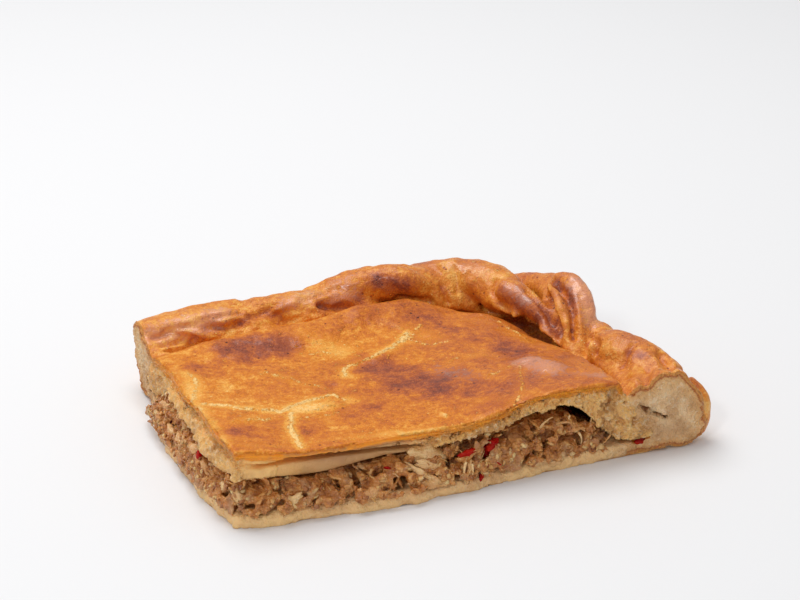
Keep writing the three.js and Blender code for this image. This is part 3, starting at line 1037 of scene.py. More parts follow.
# %% [markdown]
# Shader sums.
# A finish is a sum of noises and painted masks. Wiring each sum by hand takes many nodes, so a small class
# wraps a socket: adding or multiplying two of them adds the Math node, and one method makes all others.

# %% Shader sums
NOISE_GAIN = 2.6


def set_stops(scale, stops):
    """Puts (value, colour) stops on a colour ramp."""
    while len(scale.elements) < len(stops):
        scale.elements.new(1.0)
    for element, (place, hollow_shade_ridge_highlight) in zip(scale.elements, stops):
        element.position = place
        element.color = hollow_shade_ridge_highlight


class Signal:
    """A node's output that can be used in Python sums."""

    def __init__(self, tree, socket):
        self.tree = tree
        self.socket = socket

    def node(self, kind, settings, sockets, output=0):
        """Adds a node of any kind, with its settings and its inputs, and gives one of its outputs."""
        made = self.tree.nodes.new(kind)
        for name, value in settings.items():
            if name == "stops":
                set_stops(made.color_ramp, value)
            else:
                setattr(made, name, value)
        for name, value in sockets.items():
            if isinstance(value, Signal):
                self.tree.links.new(value.socket, made.inputs[name])
            else:
                made.inputs[name].default_value = value
        return Signal(self.tree, made.outputs[output])

    def sum(self, operation, first, second):
        """A Math node on two values."""
        return self.node("ShaderNodeMath", {"operation": operation}, {0: first, 1: second})

    def __add__(self, other):
        return self.sum("ADD", self, other)

    def __sub__(self, other):
        return self.sum("SUBTRACT", self, other)

    def __rsub__(self, other):
        return self.sum("SUBTRACT", other, self)

    def __mul__(self, other):
        return self.sum("MULTIPLY", self, other)

    __radd__ = __add__
    __rmul__ = __mul__

    def step(self, low, high):
        """0 below low, 1 above high and a smooth rise between."""
        settings = {"interpolation_type": "SMOOTHSTEP"}
        sockets = {"Value": self, "From Min": low, "From Max": high}
        return self.node("ShaderNodeMapRange", settings, sockets)

    def blend(self, first, second):
        """The first colour where this is 0 and the second where it is 1."""
        sockets = {0: self, 6: first, 7: second}
        return self.node("ShaderNodeMix", {"data_type": "RGBA"}, sockets, 2)

    def noise(self, size, detail, stretch=(1, 1, 1)):
        """Noise of a grain size in metres, read at these coordinates, mostly between -0.5 and 0.5."""
        settings = {"operation": "MULTIPLY"}
        spread = self.node("ShaderNodeVectorMath", settings, {0: self, 1: stretch})
        sockets = {"Vector": spread, "Scale": 1 / size, "Detail": detail}
        cloud = self.node("ShaderNodeTexNoise", {"noise_dimensions": "3D"}, sockets)
        return NOISE_GAIN * (cloud - 0.5)

    def spots(self, size):
        """Distance from the nearest of many scattered points, 0 at a point, read at these coordinates."""
        sockets = {"Vector": self, "Scale": 1 / size}
        return self.node("ShaderNodeTexVoronoi", {"feature": "F1"}, sockets)

    def painted(self, name):
        """A mask or a measure painted on the mesh."""
        return self.node("ShaderNodeAttribute", {"attribute_name": name}, {}, 2)

    def bump(self, height):
        """The surface normal over a relief of this height, in metres."""
        return self.node("ShaderNodeBump", {}, {"Height": self, "Distance": height, "Strength": 1.0})

    def ramp(self, stops):
        """The colour at this value on a scale of (value, colour) stops."""
        return self.node("ShaderNodeValToRGB", {"stops": stops}, {"Fac": self})


# %% Opening and closing a finish
def new_finish(name):
    """An empty material and its object coordinates as a signal."""
    finish = bpy.data.materials.new(name)
    finish.use_nodes = True
    tree = finish.node_tree
    tree.nodes.clear()
    place = tree.nodes.new("ShaderNodeTexCoord")
    return finish, Signal(tree, place.outputs["Object"])


def close_finish(surface):
    """Sends a shader to the material's output."""
    output = surface.tree.nodes.new("ShaderNodeOutputMaterial")
    surface.tree.links.new(surface.socket, output.inputs["Surface"])


# %% [markdown]
# The crust's finish.
# Egg wash bakes from pale yellow through gold to red-brown, so one number, how far a spot is baked, picks
# the colour. Noise at four sizes mottles it and the painted areas brown or pale it, with painted shade in
# the hollow under the corner lobe. Creases brown most, partly where the glaze pools and partly as painted
# shade, and ridges are paler as a painted highlight. Pale specks are partly painted glints, and a pinkish
# painted highlight lies where the glaze shines. The crumb is a second shader with a little light under its
# surface: golden below the skin, then pale, moist in patches, with painted shade in its pits, at the
# bottom of the rim's cut end and on the slab's right. The depth mixes the two.

# %% Colours of the crust
def colour(red, green, blue):
    """A colour named by its 0 to 255 screen values, as linear light."""
    linear = [((c / 255 + 0.055) / 1.055) ** 2.4 if c > 10 else c / 255 / 12.92 for c in (red, green, blue)]
    return (*linear, 1)


BAKED = [
    (0.0, colour(252, 208, 134)),
    (0.16, colour(241, 173, 76)),
    (0.33, colour(220, 130, 34)),
    (0.5, colour(194, 102, 36)),
    (0.68, colour(156, 74, 40)),
    (0.85, colour(110, 46, 28)),
    (1.0, colour(62, 24, 16)),
]
LID_CRUMB = [
    (0.0, colour(222, 122, 18)),
    (0.13, colour(255, 162, 34)),
    (0.36, colour(242, 152, 46)),
    (0.5, colour(250, 188, 106)),
    (1.0, colour(252, 196, 120)),
]
RIM_CRUMB = [
    (0.0, colour(204, 130, 56)),
    (0.12, colour(226, 158, 80)),
    (0.2, colour(182, 94, 36)),
    (0.27, colour(236, 182, 118)),
    (1.0, colour(248, 208, 158)),
]
# The colour of painted shade in the crumb's pits.
CRUMB_PIT_SHADE = colour(190, 112, 44)
CRUMB_MOIST = colour(192, 138, 84)
CRUMB_PALE = colour(255, 234, 200)
CRUMB_SMOOTH = colour(255, 210, 138)
# The colour of painted shade on the crumb.
CRUMB_SHADE = colour(176, 130, 92)
# The pinkish painted highlight where the glaze shines.
PAINTED_HIGHLIGHT = colour(240, 176, 146)
print(len(BAKED), "shades of skin,", len(LID_CRUMB) + len(RIM_CRUMB), "of crumb")

# %% Crust finish
GRAINS = ((0.016, 3), (0.005, 4), (0.0014, 4), (0.0005, 2))
RIGHT_SIDE = (-0.025, 0.03)
RIM_FOOT = (0.003, 0.022)
LID_BAKE = {"bake": 0.37, "climb": 0.0, "redden": 0.13, "shine": 0.14, "gloss": 0.2}
RIM_BAKE = {"bake": 0.2, "climb": 0.14, "redden": 0.05, "shine": 0.3, "gloss": 0.22}


def baked_skin(place, grains, bake, climb, redden, shine, gloss):
    """The glazed skin: browner by some share up the rim and on the right side."""
    broad, middle, fine, grain = grains
    right = place.node("ShaderNodeSeparateXYZ", {}, {0: place}, 0).step(*RIGHT_SIDE)
    up = place.node("ShaderNodeSeparateXYZ", {}, {0: place}, 2).step(*RIM_FOOT)
    mottle = 0.18 * broad + 0.18 * middle + 0.2 * fine + 0.16 * grain + redden * right
    # Browned areas, with painted shade in the hollow under the corner lobe.
    dark = (place.painted("dark") + 0.2 * broad + 0.2 * middle).step(0.1, 1.0)
    flecks = 0.4 * middle + 0.8 * fine + 0.6 * grain
    pale = (place.painted("pale") + flecks).step(0.35, 0.85)
    crack = (place.painted("crack") + 0.7 * middle + 0.9 * fine + 0.5 * grain).step(0.46, 0.96)
    hollow = place.painted("hollow")
    # Shiny glaze: more coat, and a pinkish painted highlight in the colour.
    sheen = (place.painted("sheen") + 0.3 * middle + 0.6 * fine + 0.4 * grain).step(0.25, 1.05)
    # Creases brown, partly from pooled glaze and partly as painted shade; ridges are paler as a painted
    # highlight.
    crease_browning_and_shade = 0.6 * hollow.step(0.04, 0.7) * (1 - crack) - 0.12 * (hollow * -1.0).step(0.05, 0.4)
    pinhole = (1 - place.spots(0.0036).step(0.06, 0.14)) * (broad + fine).step(-0.1, 0.3)
    # Pale specks, partly painted glints.
    pale_speck_and_glint = (1 - place.spots(0.0023).step(0.07, 0.15)) * (middle - broad).step(-0.2, 0.3)
    freckle = (1 - place.spots(0.0017).step(0.12, 0.3)) * middle.step(0.0, 0.3)
    baked = bake + mottle + climb * up + 0.3 * dark - 0.26 * pale - 0.24 * crack + crease_browning_and_shade
    baked = baked + 0.4 * pinhole - 0.3 * pale_speck_and_glint + 0.12 * freckle
    relief = 0.3 * middle + (0.35 + 0.4 * pale) * fine + 0.25 * grain
    relief = relief - 0.5 * pinhole + 0.3 * crack + 0.3 * pale_speck_and_glint
    return place.node("ShaderNodeBsdfPrincipled", {}, {
        "Base Color": (0.38 * sheen).blend(baked.ramp(BAKED), PAINTED_HIGHLIGHT),
        "Roughness": 0.44 + 0.14 * fine + 0.1 * pale,
        "Specular IOR Level": shine,
        "Coat Weight": gloss * (0.5 + right + dark + 0.5 * broad) + 0.7 * sheen,
        "Coat Roughness": 0.22,
        "Normal": relief.bump(0.0005),
    })


def cut_crumb(place, grains, scale):
    """The crumb at a cut or a tear, coloured by its depth under the skin."""
    broad, middle, fine, grain = grains
    deep = place.painted("depth") + 0.5 * middle + 0.4 * fine
    smooth = place.painted("smooth")
    rough = 1 - smooth
    moist = 0.6 * (broad + 0.8 * middle).step(-0.1, 0.5)
    pale = 0.5 * deep.step(1.6, 3.0) * rough * (fine + 0.6 * grain).step(0.05, 0.6)
    slab = deep.step(2.0, 3.5) * smooth * (0.4 - 0.8 * broad)
    # Painted shade on the crumb where that mask is painted.
    damp = place.painted("damp") * deep.step(1.6, 3.0)
    # Painted shade in the crumb's pits and hollows.
    pit_shade = 0.5 * (place.painted("hollow") + 0.06 * fine).step(0.06, 0.6)
    tint = (0.16 * deep + 0.05 * grain).ramp(scale)
    tint = moist.blend(tint, CRUMB_MOIST)
    tint = pale.blend(tint, CRUMB_PALE)
    tint = slab.blend(tint, CRUMB_SMOOTH)
    tint = damp.blend(tint, CRUMB_SHADE)
    return place.node("ShaderNodeBsdfPrincipled", {}, {
        "Base Color": pit_shade.blend(tint, CRUMB_PIT_SHADE),
        "Roughness": 0.32 + 0.12 * fine,
        "Specular IOR Level": 0.4,
        "Subsurface Weight": 0.2,
        "Subsurface Radius": (1.0, 0.7, 0.45),
        "Subsurface Scale": 0.0012,
        "Normal": ((0.1 + 0.5 * rough) * (fine + grain + place.spots(0.0011))).bump(0.0005),
    })


def crust_finish(name, baking, crumb_scale):
    """Baked skin, and crumb below it."""
    finish, place = new_finish(name)
    grains = [place.noise(size, detail) for size, detail in GRAINS]
    skin = baked_skin(place, grains, **baking)
    crumb = cut_crumb(place, grains, crumb_scale)
    cut = place.painted("depth").step(0.02, 0.35)
    close_finish(place.node("ShaderNodeMixShader", {}, {0: cut, 1: skin, 2: crumb}))
    return finish


lid.data.materials.append(crust_finish("baked_lid_crust", LID_BAKE, LID_CRUMB))
crust.data.materials.append(crust_finish("baked_rim_crust", RIM_BAKE, RIM_CRUMB))
print("crust finishes", lid.data.materials[0].name, crust.data.materials[0].name)

# %% [markdown]
# The filling.
# The filling is flaked fish stewed with onion and red pepper, and it runs through the whole slice. A rough
# core, copied from the filling's solid and set back from the cuts, carries the pieces that show.

# %% The filling's core
CORE_GRAIN = 0.9 * MM
CORE_SETBACK = 2.6 * MM
SETBACK_REACH = 7.0 * MM
CORE_RELIEF = [("", 3.6, 2.4, "CLOUDS")]

core = copy_of("filling", "filling_core")
apply(core, "REMESH", mode="VOXEL", voxel_size=CORE_GRAIN)
points = places(core)
for cut in (LEFT, FRONT):
    inward = 1 - smooth_step(points[:, cut] - knife_corner[cut], 0, SETBACK_REACH)
    points[:, cut] += CORE_SETBACK * inward
put(core, points)
roughen(core, CORE_RELIEF)
print("filling core", len(core.data.polygons), "faces")

# %% [markdown]
# Flakes and shreds.
# The knife left the filling torn: moist lumps and flakes of every size with dark gaps between, and fine
# shreds standing off them. A few flake and shred shapes are modelled once and copied many times, each copy
# turned and sized on its own. The larger ones melt into the core with one remesh, and the small ones stay
# loose on top.

# %% Flake shapes
FLAKE_SHAPES = 6
FLAKE_STRIDE = np.array((3.7, 1.3, 0.0))


def bare_shape():
    """The vertices and triangles of the active object, which is then removed."""
    shape = bpy.context.object
    apply(shape, "TRIANGULATE")
    triangles = [tuple(face.vertices) for face in shape.data.polygons]
    vertices = places(shape)
    bpy.data.objects.remove(shape)
    return vertices, np.array(triangles)


def flake_shape(number):
    """A torn lump about one unit long in each half, cut from another part of the noise each time."""
    bpy.ops.mesh.primitive_ico_sphere_add(subdivisions=1, radius=1)
    shape = bpy.context.object
    texture = bpy.data.textures.new(f"flake_{number}", "CLOUDS")
    texture.noise_scale = 0.55 + 0.1 * number
    texture.noise_depth = 1
    shape.location = FLAKE_STRIDE * number
    bpy.ops.object.transform_apply(location=True)
    apply(shape, "DISPLACE", texture=texture, texture_coords="LOCAL", strength=1.0, mid_level=0.5)
    vertices, triangles = bare_shape()
    return vertices - FLAKE_STRIDE * number, triangles


flake_shapes = [flake_shape(number) for number in range(FLAKE_SHAPES)]
print(len(flake_shapes), "flake shapes of", len(flake_shapes[0][1]), "triangles")

# %% Shred shapes
SHRED_SHAPES = 6
SHRED_STEPS = 6
dice = np.random.default_rng(11)


def shred_shape():
    """A thin bent shred with pointed ends, two units long."""
    lying = (0, math.pi / 2, 0)
    bpy.ops.mesh.primitive_cylinder_add(vertices=4, radius=1, depth=2, end_fill_type="TRIFAN", rotation=lying)
    bpy.ops.object.transform_apply(rotation=True)
    bpy.ops.object.mode_set(mode="EDIT")
    bpy.ops.mesh.select_all(action="SELECT")
    for step in range(1, SHRED_STEPS):
        bpy.ops.mesh.bisect(plane_co=(2 * step / SHRED_STEPS - 1, 0, 0), plane_no=(1, 0, 0))
        bpy.ops.mesh.select_all(action="SELECT")
    bpy.ops.object.mode_set(mode="OBJECT")
    vertices, triangles = bare_shape()
    along = vertices[:, 0].copy()
    taper = np.clip(1.15 - along * along, 0.08, 1)
    bend = dice.uniform(-2.0, 2.0, 4)
    vertices[:, 1] = vertices[:, 1] * taper + bend[0] * (along ** 2 - 0.4) + bend[1] * along ** 3
    vertices[:, 2] = vertices[:, 2] * taper + bend[2] * (along ** 2 - 0.4) + bend[3] * along ** 3
    return vertices, triangles


shred_shapes = [shred_shape() for _ in range(SHRED_SHAPES)]
print(len(shred_shapes), "shred shapes of", len(shred_shapes[0][1]), "triangles")

# %% Spots on the cut walls
WALL_START = 0.5
WALL_LENGTHS = {FRONT: 112.0, LEFT: 84.0}
WALL_TOP = 22.0
WALL_FACING = {FRONT: (0, -1, 0.25), LEFT: (-1, 0, 0.25)}
WALL_INSET = 2.0
ABOVE_SLICE = 40.0
IN_FRONT = -20.0
LOOK_DEPTH = 25 * MM
BASE_TOP = 4.3
BURIED = 0.6
FOOT_ROOM = 0.4
ROOM_GAIN = 0.15
OVER_TOP = 1.0
FOOT_HEIGHT = 1.0
FOOT_DEPTHS = (-0.7, 0.2)
UNDER_LID = 3.0
LID_SETBACK = 2.4
SPREAD_HEIGHT = 8.0
solid = skin_of(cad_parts["filling"])


def from_corner(x, y, z):
    """A place in the frame, from millimetres right of, behind and above the knife's corner."""
    return knife_corner + Vector((x, y, z)) * MM


def at_wall(cut, along, depth, height):
    """The place some millimetres along a cut, behind its plane and above the table."""
    x, y = (along, depth) if cut == FRONT else (depth, along)
    return from_corner(x, y, height)


def spread_of(cut, along):
    """How far the base is spread in front of a cut, in millimetres."""
    ways = (lip_foot(cut) - np.array(knife_corner)) / MM
    return np.interp(along, ways[:, 1 - cut], -ways[:, cut])


def wall_spot(cut, proud, set_back, reach):
    """A spot in one cut wall: a place, the way it faces and the share of its size that a copy has there."""
    top = None
    while top is None:
        along = dice.uniform(WALL_START, WALL_LENGTHS[cut])
        depth = dice.uniform(-proud, set_back)
        above = at_wall(cut, along, max(depth, 0) + WALL_INSET, ABOVE_SLICE)
        top = solid.ray_cast(above, (0, 0, -1))[0]
    ceiling = top.z / MM
    height = BASE_TOP - BURIED + dice.uniform(0, reach) * (ceiling + OVER_TOP - BASE_TOP)
    room = min(1.0, FOOT_ROOM + ROOM_GAIN * (height - BASE_TOP + BURIED))
    if height < BASE_TOP + FOOT_HEIGHT:
        depth = dice.uniform(*FOOT_DEPTHS)
    under_lid = max(0.0, height - ceiling + UNDER_LID) / UNDER_LID
    depth += LID_SETBACK * under_lid
    depth -= spread_of(cut, along) * max(0.0, 1 - (height - BASE_TOP) / SPREAD_HEIGHT)
    return np.array(at_wall(cut, along, depth, height)), np.array(WALL_FACING[cut]), room


def wall_spots(counts, prouds, set_back, reach):
    """Spots in both cut walls, the front one first."""
    spots = []
    for cut, count, proud in zip((FRONT, LEFT), counts, prouds):
        spots += [wall_spot(cut, proud, set_back, reach) for _ in range(count)]
    return spots


def surface_spot(cut, skin):
    """A spot on the torn wall itself, where a copy has its full size."""
    way = (0, 1, 0) if cut == FRONT else (1, 0, 0)
    while True:
        along = dice.uniform(WALL_START, WALL_LENGTHS[cut])
        height = dice.uniform(BASE_TOP, WALL_TOP)
        place, facing, _, _ = skin.ray_cast(at_wall(cut, along, IN_FRONT, height), way, LOOK_DEPTH)
        if place is not None:
            return np.array(place), np.array(facing), 1.0


def surface_spots(counts, skin):
    """Spots on both torn walls, the front one first."""
    spots = []
    for cut, count in zip((FRONT, LEFT), counts):
        spots += [surface_spot(cut, skin) for _ in range(count)]
    return spots


print("cut walls", WALL_LENGTHS[FRONT], "and", WALL_LENGTHS[LEFT], "mm long")

# %% Copies of a shape
def turn_towards(facing, wobble):
    """A turn whose third axis faces outwards, roughly, and whose first axis lies anywhere round it."""
    third = facing + dice.normal(0, wobble, 3)
    third /= np.linalg.norm(third)
    first = np.cross(third, dice.normal(0, 1, 3) + np.array((0, 0, 0.01)))
    first /= np.linalg.norm(first)
    return np.stack([first, np.cross(third, first), third], 1)


def joined(name, copies):
    """One mesh object from (vertices, triangles, tone) copies, with each copy's tone stored on it."""
    starts = np.cumsum([0] + [len(vertices) for vertices, _, _ in copies[:-1]])
    vertices = np.concatenate([vertices for vertices, _, _ in copies])
    triangles = np.concatenate([triangles + start for (_, triangles, _), start in zip(copies, starts)])
    tones = np.concatenate([np.full(len(vertices), tone) for vertices, _, tone in copies])
    mesh = bpy.data.meshes.new(name)
    mesh.from_pydata(vertices.tolist(), [], triangles.tolist())
    piece = bpy.data.objects.new(name, mesh)
    bpy.context.scene.collection.objects.link(piece)
    paint(piece, tone=tones, hollow=np.zeros(len(tones)))
    pick(piece)
    bpy.ops.object.shade_smooth()
    return piece


def copies_at(shapes, spots, halves, wobble):
    """A copy of some shape at every spot, each turned and sized on its own."""
    copies = []
    for place, facing, room in spots:
        vertices, triangles = shapes[dice.integers(len(shapes))]
        size = np.array([dice.uniform(*half) for half in halves]) * room * MM
        turned = (vertices * size) @ turn_towards(facing, wobble).T
        copies.append((turned + place, triangles, dice.uniform()))
    return copies


# %% Lumps and strips melted into the core
MASS_GRAIN = 0.38 * MM
MASS_SOFTENING = 5
LUMP_HALVES = ((1.6, 4.4), (1.1, 2.4), (0.8, 1.5))
STRIP_HALVES = ((2.0, 4.5), (0.45, 0.85), (0.3, 0.6))
# Shapes, how many at the front and left, how proud there, set back, share of the height, half sizes, wobble.
MASS = [
    (flake_shapes, (150, 130), (0.2, 0.6), 2.4, 1.0, LUMP_HALVES, 0.35),
    (flake_shapes, (90, 60), (0.2, 0.2), 1.4, 0.35, LUMP_HALVES, 0.35),
    (shred_shapes, (110, 90), (0.5, 0.8), 1.2, 1.0, STRIP_HALVES, 0.4),
]

lumps = []
for shapes, counts, prouds, set_back, reach, halves, wobble in MASS:
    lumps += copies_at(shapes, wall_spots(counts, prouds, set_back, reach), halves, wobble)
melt(core, [joined("fish_lumps", lumps)], MASS_GRAIN, MASS_SOFTENING)
print("filling mass", len(core.data.polygons), "faces")

# %% [markdown]
# Gaps in the filling.
# Between the lumps the cut shows deep dark gaps. Those of the front are followed in the picture, and a few
# on the left are placed by seeded chance. Each pushes the wall in along a short route.

# %% Dark gaps in the mass
# A gap is a row of pixels, a width and a depth, in millimetres.
GAPS = [
    ([(318, 477), (325, 481), (331, 488)], 2.4, 4.5),
    ([(344, 470), (354, 474), (363, 478)], 2.6, 5.0),
    ([(318, 475), (340, 471), (360, 465)], 2.0, 4.5),
    ([(360, 463), (378, 460), (400, 456)], 2.8, 6.0),
    ([(396, 478), (404, 481), (412, 482)], 2.8, 5.0),
    ([(250, 488), (257, 491), (262, 488)], 2.2, 4.0),
    ([(285, 486), (296, 483)], 1.8, 3.5),
    ([(452, 462), (458, 466)], 2.2, 4.5),
    ([(500, 442), (512, 437), (525, 433)], 2.4, 4.5),
    ([(534, 420), (552, 416), (575, 410), (600, 412)], 4.0, 6.0),
    ([(560, 440), (572, 438), (583, 436)], 2.2, 4.5),
    ([(608, 418), (622, 428), (632, 436)], 2.6, 4.5),
]
GAP_PLANE = 1.0
GAP_SQUASH = 0.4
LEFT_GAPS = 9
LEFT_GAP_ENDS = (6, WALL_LENGTHS[LEFT] - 4)
LEFT_GAP_HEIGHTS = (7, 12)
LEFT_GAP_LENGTHS = (2, 6)
LEFT_GAP_RISES = (-1.5, 1.5)
LEFT_GAP_WIDTH = 2.0
LEFT_GAP_DEPTH = 3.5
HIDDEN_MASS = 9 * MM
THINNED_MASS = 0.04
MASS_RELIEF = [("", 1.8, 1.0, "CLOUDS"), ("", 0.8, 0.2, "CLOUDS")]
MASS_HOLLOWS = 20


def at_cut(across, down, cut, inset):
    """The place on a pixel's ray some millimetres behind a cut."""
    way = ray((across, down))
    return camera.location + way * ((knife_corner[cut] + inset * MM - camera.location[cut]) / way[cut])


def dig(points, cut, route, width, depth):
    """Pushes a wall in along a route of places, some way behind it too."""
    squash = np.ones(3)
    squash[cut] = GAP_SQUASH
    points[:, cut] += depth * MM * near(points * squash, route * squash, width * MM)


points = places(core)
for pixels, width, depth in GAPS:
    route = np.array([at_cut(*pixel, FRONT, GAP_PLANE) for pixel in pixels])
    dig(points, FRONT, route, width, depth)
for along in dice.uniform(*LEFT_GAP_ENDS, LEFT_GAPS):
    start = np.array(from_corner(GAP_PLANE, along, dice.uniform(*LEFT_GAP_HEIGHTS)))
    way = np.array((0, dice.uniform(*LEFT_GAP_LENGTHS), dice.uniform(*LEFT_GAP_RISES))) * MM
    dig(points, LEFT, np.array([start, start + way]), LEFT_GAP_WIDTH, LEFT_GAP_DEPTH)
put(core, points)
thin(core, behind_cuts(faces_of(core)[0]) > HIDDEN_MASS, THINNED_MASS)
roughen(core, MASS_RELIEF)
bpy.ops.object.shade_smooth()
paint(core, tone=np.full(len(core.data.vertices), 0.5), hollow=hollows(core, MASS_HOLLOWS))
print(len(GAPS) + LEFT_GAPS, "gaps in", len(core.data.polygons), "faces")

# %% Loose flakes and shreds
FLAKE_HALVES = ((0.5, 1.5), (0.4, 1.0), (0.3, 0.6))
SHRED_HALVES = ((0.8, 2.2), (0.16, 0.36), (0.14, 0.26))
FLAKE_COUNTS = (260, 200)
SHRED_COUNTS = (110, 90)
LOOSE_WOBBLE = 0.5

mass_skin = skin_of(core)
spots = surface_spots(FLAKE_COUNTS, mass_skin)
flakes = joined("fish_flakes", copies_at(flake_shapes, spots, FLAKE_HALVES, LOOSE_WOBBLE))
spots = surface_spots(SHRED_COUNTS, mass_skin)
shreds = joined("fish_shreds", copies_at(shred_shapes, spots, SHRED_HALVES, LOOSE_WOBBLE))
print("flakes", len(flakes.data.polygons), "shreds", len(shreds.data.polygons), "triangles")

# %% [markdown]
# Onion and pepper.
# Stewed onion comes apart in curled plates, and the pepper in short red scraps with threads of skin. They
# lie where the picture shows them, on the filling or the crust that is nearest under that pixel. A plate is
# a rounded box bent along both of its sides. A thread is a thin tube along a route.

# %% Plates and threads
THREAD_TAPER = (1.3, 0.5)


def on_nearest(pixel, sink):
    """The nearest place on the filling or the crust under a pixel, and some millimetres behind it."""
    way = ray(pixel)
    hits = [skin.ray_cast(camera.location, way) for skin in (mass_skin, rim_skin, lid_skin)]
    distance = min(hit[3] for hit in hits if hit[0])
    return camera.location + way * (distance + sink * MM)


def plate(half_sizes, curl, place, along, facing, tone):
    """A curled plate: its first side runs along a way and its third faces outwards."""
    bpy.ops.mesh.primitive_cube_add(size=2)
    bpy.ops.object.mode_set(mode="EDIT")
    bpy.ops.mesh.subdivide(number_cuts=5)
    bpy.ops.object.mode_set(mode="OBJECT")
    apply(bpy.context.object, "SUBSURF", levels=1)
    vertices, triangles = bare_shape()
    ends = vertices[:, 0].copy()
    sides = vertices[:, 1].copy()
    vertices[:, 0] *= 1.05 - 0.15 * sides ** 2 + 0.12 * np.sin(5 * sides + 7 * tone)
    vertices[:, 1] *= 1.05 - 0.35 * ends ** 2 + 0.14 * np.sin(6 * ends + 9 * tone)
    third = np.array(facing, float)
    third /= np.linalg.norm(third)
    second = np.cross(third, along)
    second /= np.linalg.norm(second)
    turn = np.stack([np.cross(second, third), second, third], 1)
    vertices *= np.array(half_sizes)
    vertices[:, 2] -= curl[0] * ends ** 2 + curl[1] * sides ** 2 + 0.3 * ends * sides
    return (vertices * MM) @ turn.T + np.array(place), triangles, tone


def thread(pixels, inset, radius):
    """A thin tapering strand along a row of pixels, on the nearest surface or free behind the front cut."""
    if inset is None:
        route = [on_nearest(pixel, -radius) for pixel in pixels]
    else:
        route = [at_cut(*pixel, FRONT, inset) for pixel in pixels]
    pick(roll_of_dough("strand", route, np.linspace(*THREAD_TAPER, len(route)) * radius))
    vertices, triangles = bare_shape()
    return vertices, triangles, dice.uniform()


# %% Onion and pepper
# A plate is a pixel, how far it is sunk, its half sizes, its curls, the way it runs and the way it faces.
ONIONS = [
    ((431, 457), -0.7, (6.0, 3.2, 0.3), (1.6, 1.4), (1, 0, -0.28), (0.15, -1, 0.3)),
    ((434, 467), -0.2, (5.0, 1.5, 0.3), (1.2, 0.8), (1, 0, -0.4), (0.2, -1, 0.1)),
    ((420, 472), -0.2, (4.4, 0.8, 0.4), (1.2, 0.4), (0.8, 0, -0.6), (-0.2, -1, 0.3)),
    ((436, 480), -0.2, (3.6, 0.8, 0.4), (1.0, 0.4), (0.8, 0, -0.6), (-0.1, -1, 0.3)),
    ((429, 483), -0.5, (5.4, 1.4, 0.25), (0.8, 0.8), (1, 0, -0.15), (0.0, -1, 0.6)),
    ((294, 500), -0.2, (2.6, 1.0, 0.35), (0.7, 0.4), (0.8, 0, 0.5), (-0.2, -1, 0.4)),
    ((372, 494), -0.1, (3.4, 1.5, 0.35), (0.8, 0.6), (0.9, 0, 0.4), (0.1, -1, 0.3)),
    ((470, 472), -0.1, (3.2, 0.8, 0.35), (0.8, 0.3), (0.3, 0, 1), (0.2, -1, 0.2)),
    ((555, 462), -0.1, (3.0, 1.3, 0.35), (0.9, 0.6), (1, 0, 0.3), (-0.2, -1, 0.3)),
    ((155, 411), 0.2, (2.4, 1.2, 0.4), (0.7, 0.5), (0.1, 0.8, 0.5), (-1, -0.2, 0.3)),
    ((164, 405), 0.2, (2.8, 1.3, 0.4), (0.8, 0.5), (0.1, 0.9, -0.3), (-1, -0.3, 0.4)),
    ((169, 430), 0.2, (2.4, 1.2, 0.4), (0.6, 0.5), (0.1, 0.9, 0.2), (-1, -0.1, 0.3)),
    ((184, 428), 0.1, (2.2, 1.1, 0.4), (0.6, 0.4), (0.1, 0.7, 0.7), (-1, -0.3, 0.2)),
    ((192, 448), 0.2, (2.8, 1.3, 0.4), (0.8, 0.5), (0.1, 0.9, -0.3), (-1, -0.2, 0.5)),
    ((213, 474), 0.1, (2.6, 1.3, 0.4), (0.7, 0.5), (0.1, 0.8, 0.4), (-1, -0.3, 0.3)),
    ((177, 440), 0.2, (2.4, 1.4, 0.4), (0.7, 0.5), (0.1, 0.7, 0.6), (-1, -0.2, 0.4)),
    ((203, 467), 0.1, (2.8, 1.2, 0.4), (0.8, 0.5), (0.1, 0.9, 0.3), (-1, -0.3, 0.5)),
    ((222, 487), 0.2, (2.6, 1.4, 0.4), (0.8, 0.5), (0.1, 0.8, -0.4), (-1, -0.2, 0.3)),
    ((234, 494), 0.2, (2.2, 1.3, 0.4), (0.7, 0.5), (0.1, 0.9, 0.5), (-1, -0.4, 0.3)),
]
PEPPERS = [
    ((488, 449), -1.3, (3.2, 2.0, 0.5), (0.8, 0.7), (1, 0, 0.35), (0.1, -1, 0.4)),
    ((494, 445), -1.2, (2.2, 1.3, 0.5), (0.6, 0.6), (0.9, 0, 0.6), (0.3, -1, 0.3)),
    ((468, 453), -0.5, (2.6, 0.8, 0.4), (0.8, 0.4), (1, 0, 0.25), (0.0, -1, 0.3)),
    ((641, 441), -0.2, (1.8, 0.8, 0.4), (0.5, 0.3), (1, 0, 0.1), (0.0, -1, 0.4)),
    ((388, 468), -0.1, (1.0, 0.4, 0.3), (0.3, 0.2), (1, 0, -0.3), (0.1, -1, 0.3)),
    ((481, 478), -0.1, (1.6, 0.6, 0.35), (0.4, 0.2), (0.5, 0, 0.8), (0.0, -1, 0.3)),
    ((172, 422), -0.9, (1.9, 1.0, 0.5), (0.5, 0.3), (0.1, 0.6, 0.8), (-1, -0.2, 0.3)),
    ((198, 456), -0.4, (1.6, 0.8, 0.5), (0.5, 0.3), (0.1, 0.6, 0.8), (-1, -0.2, 0.3)),
]
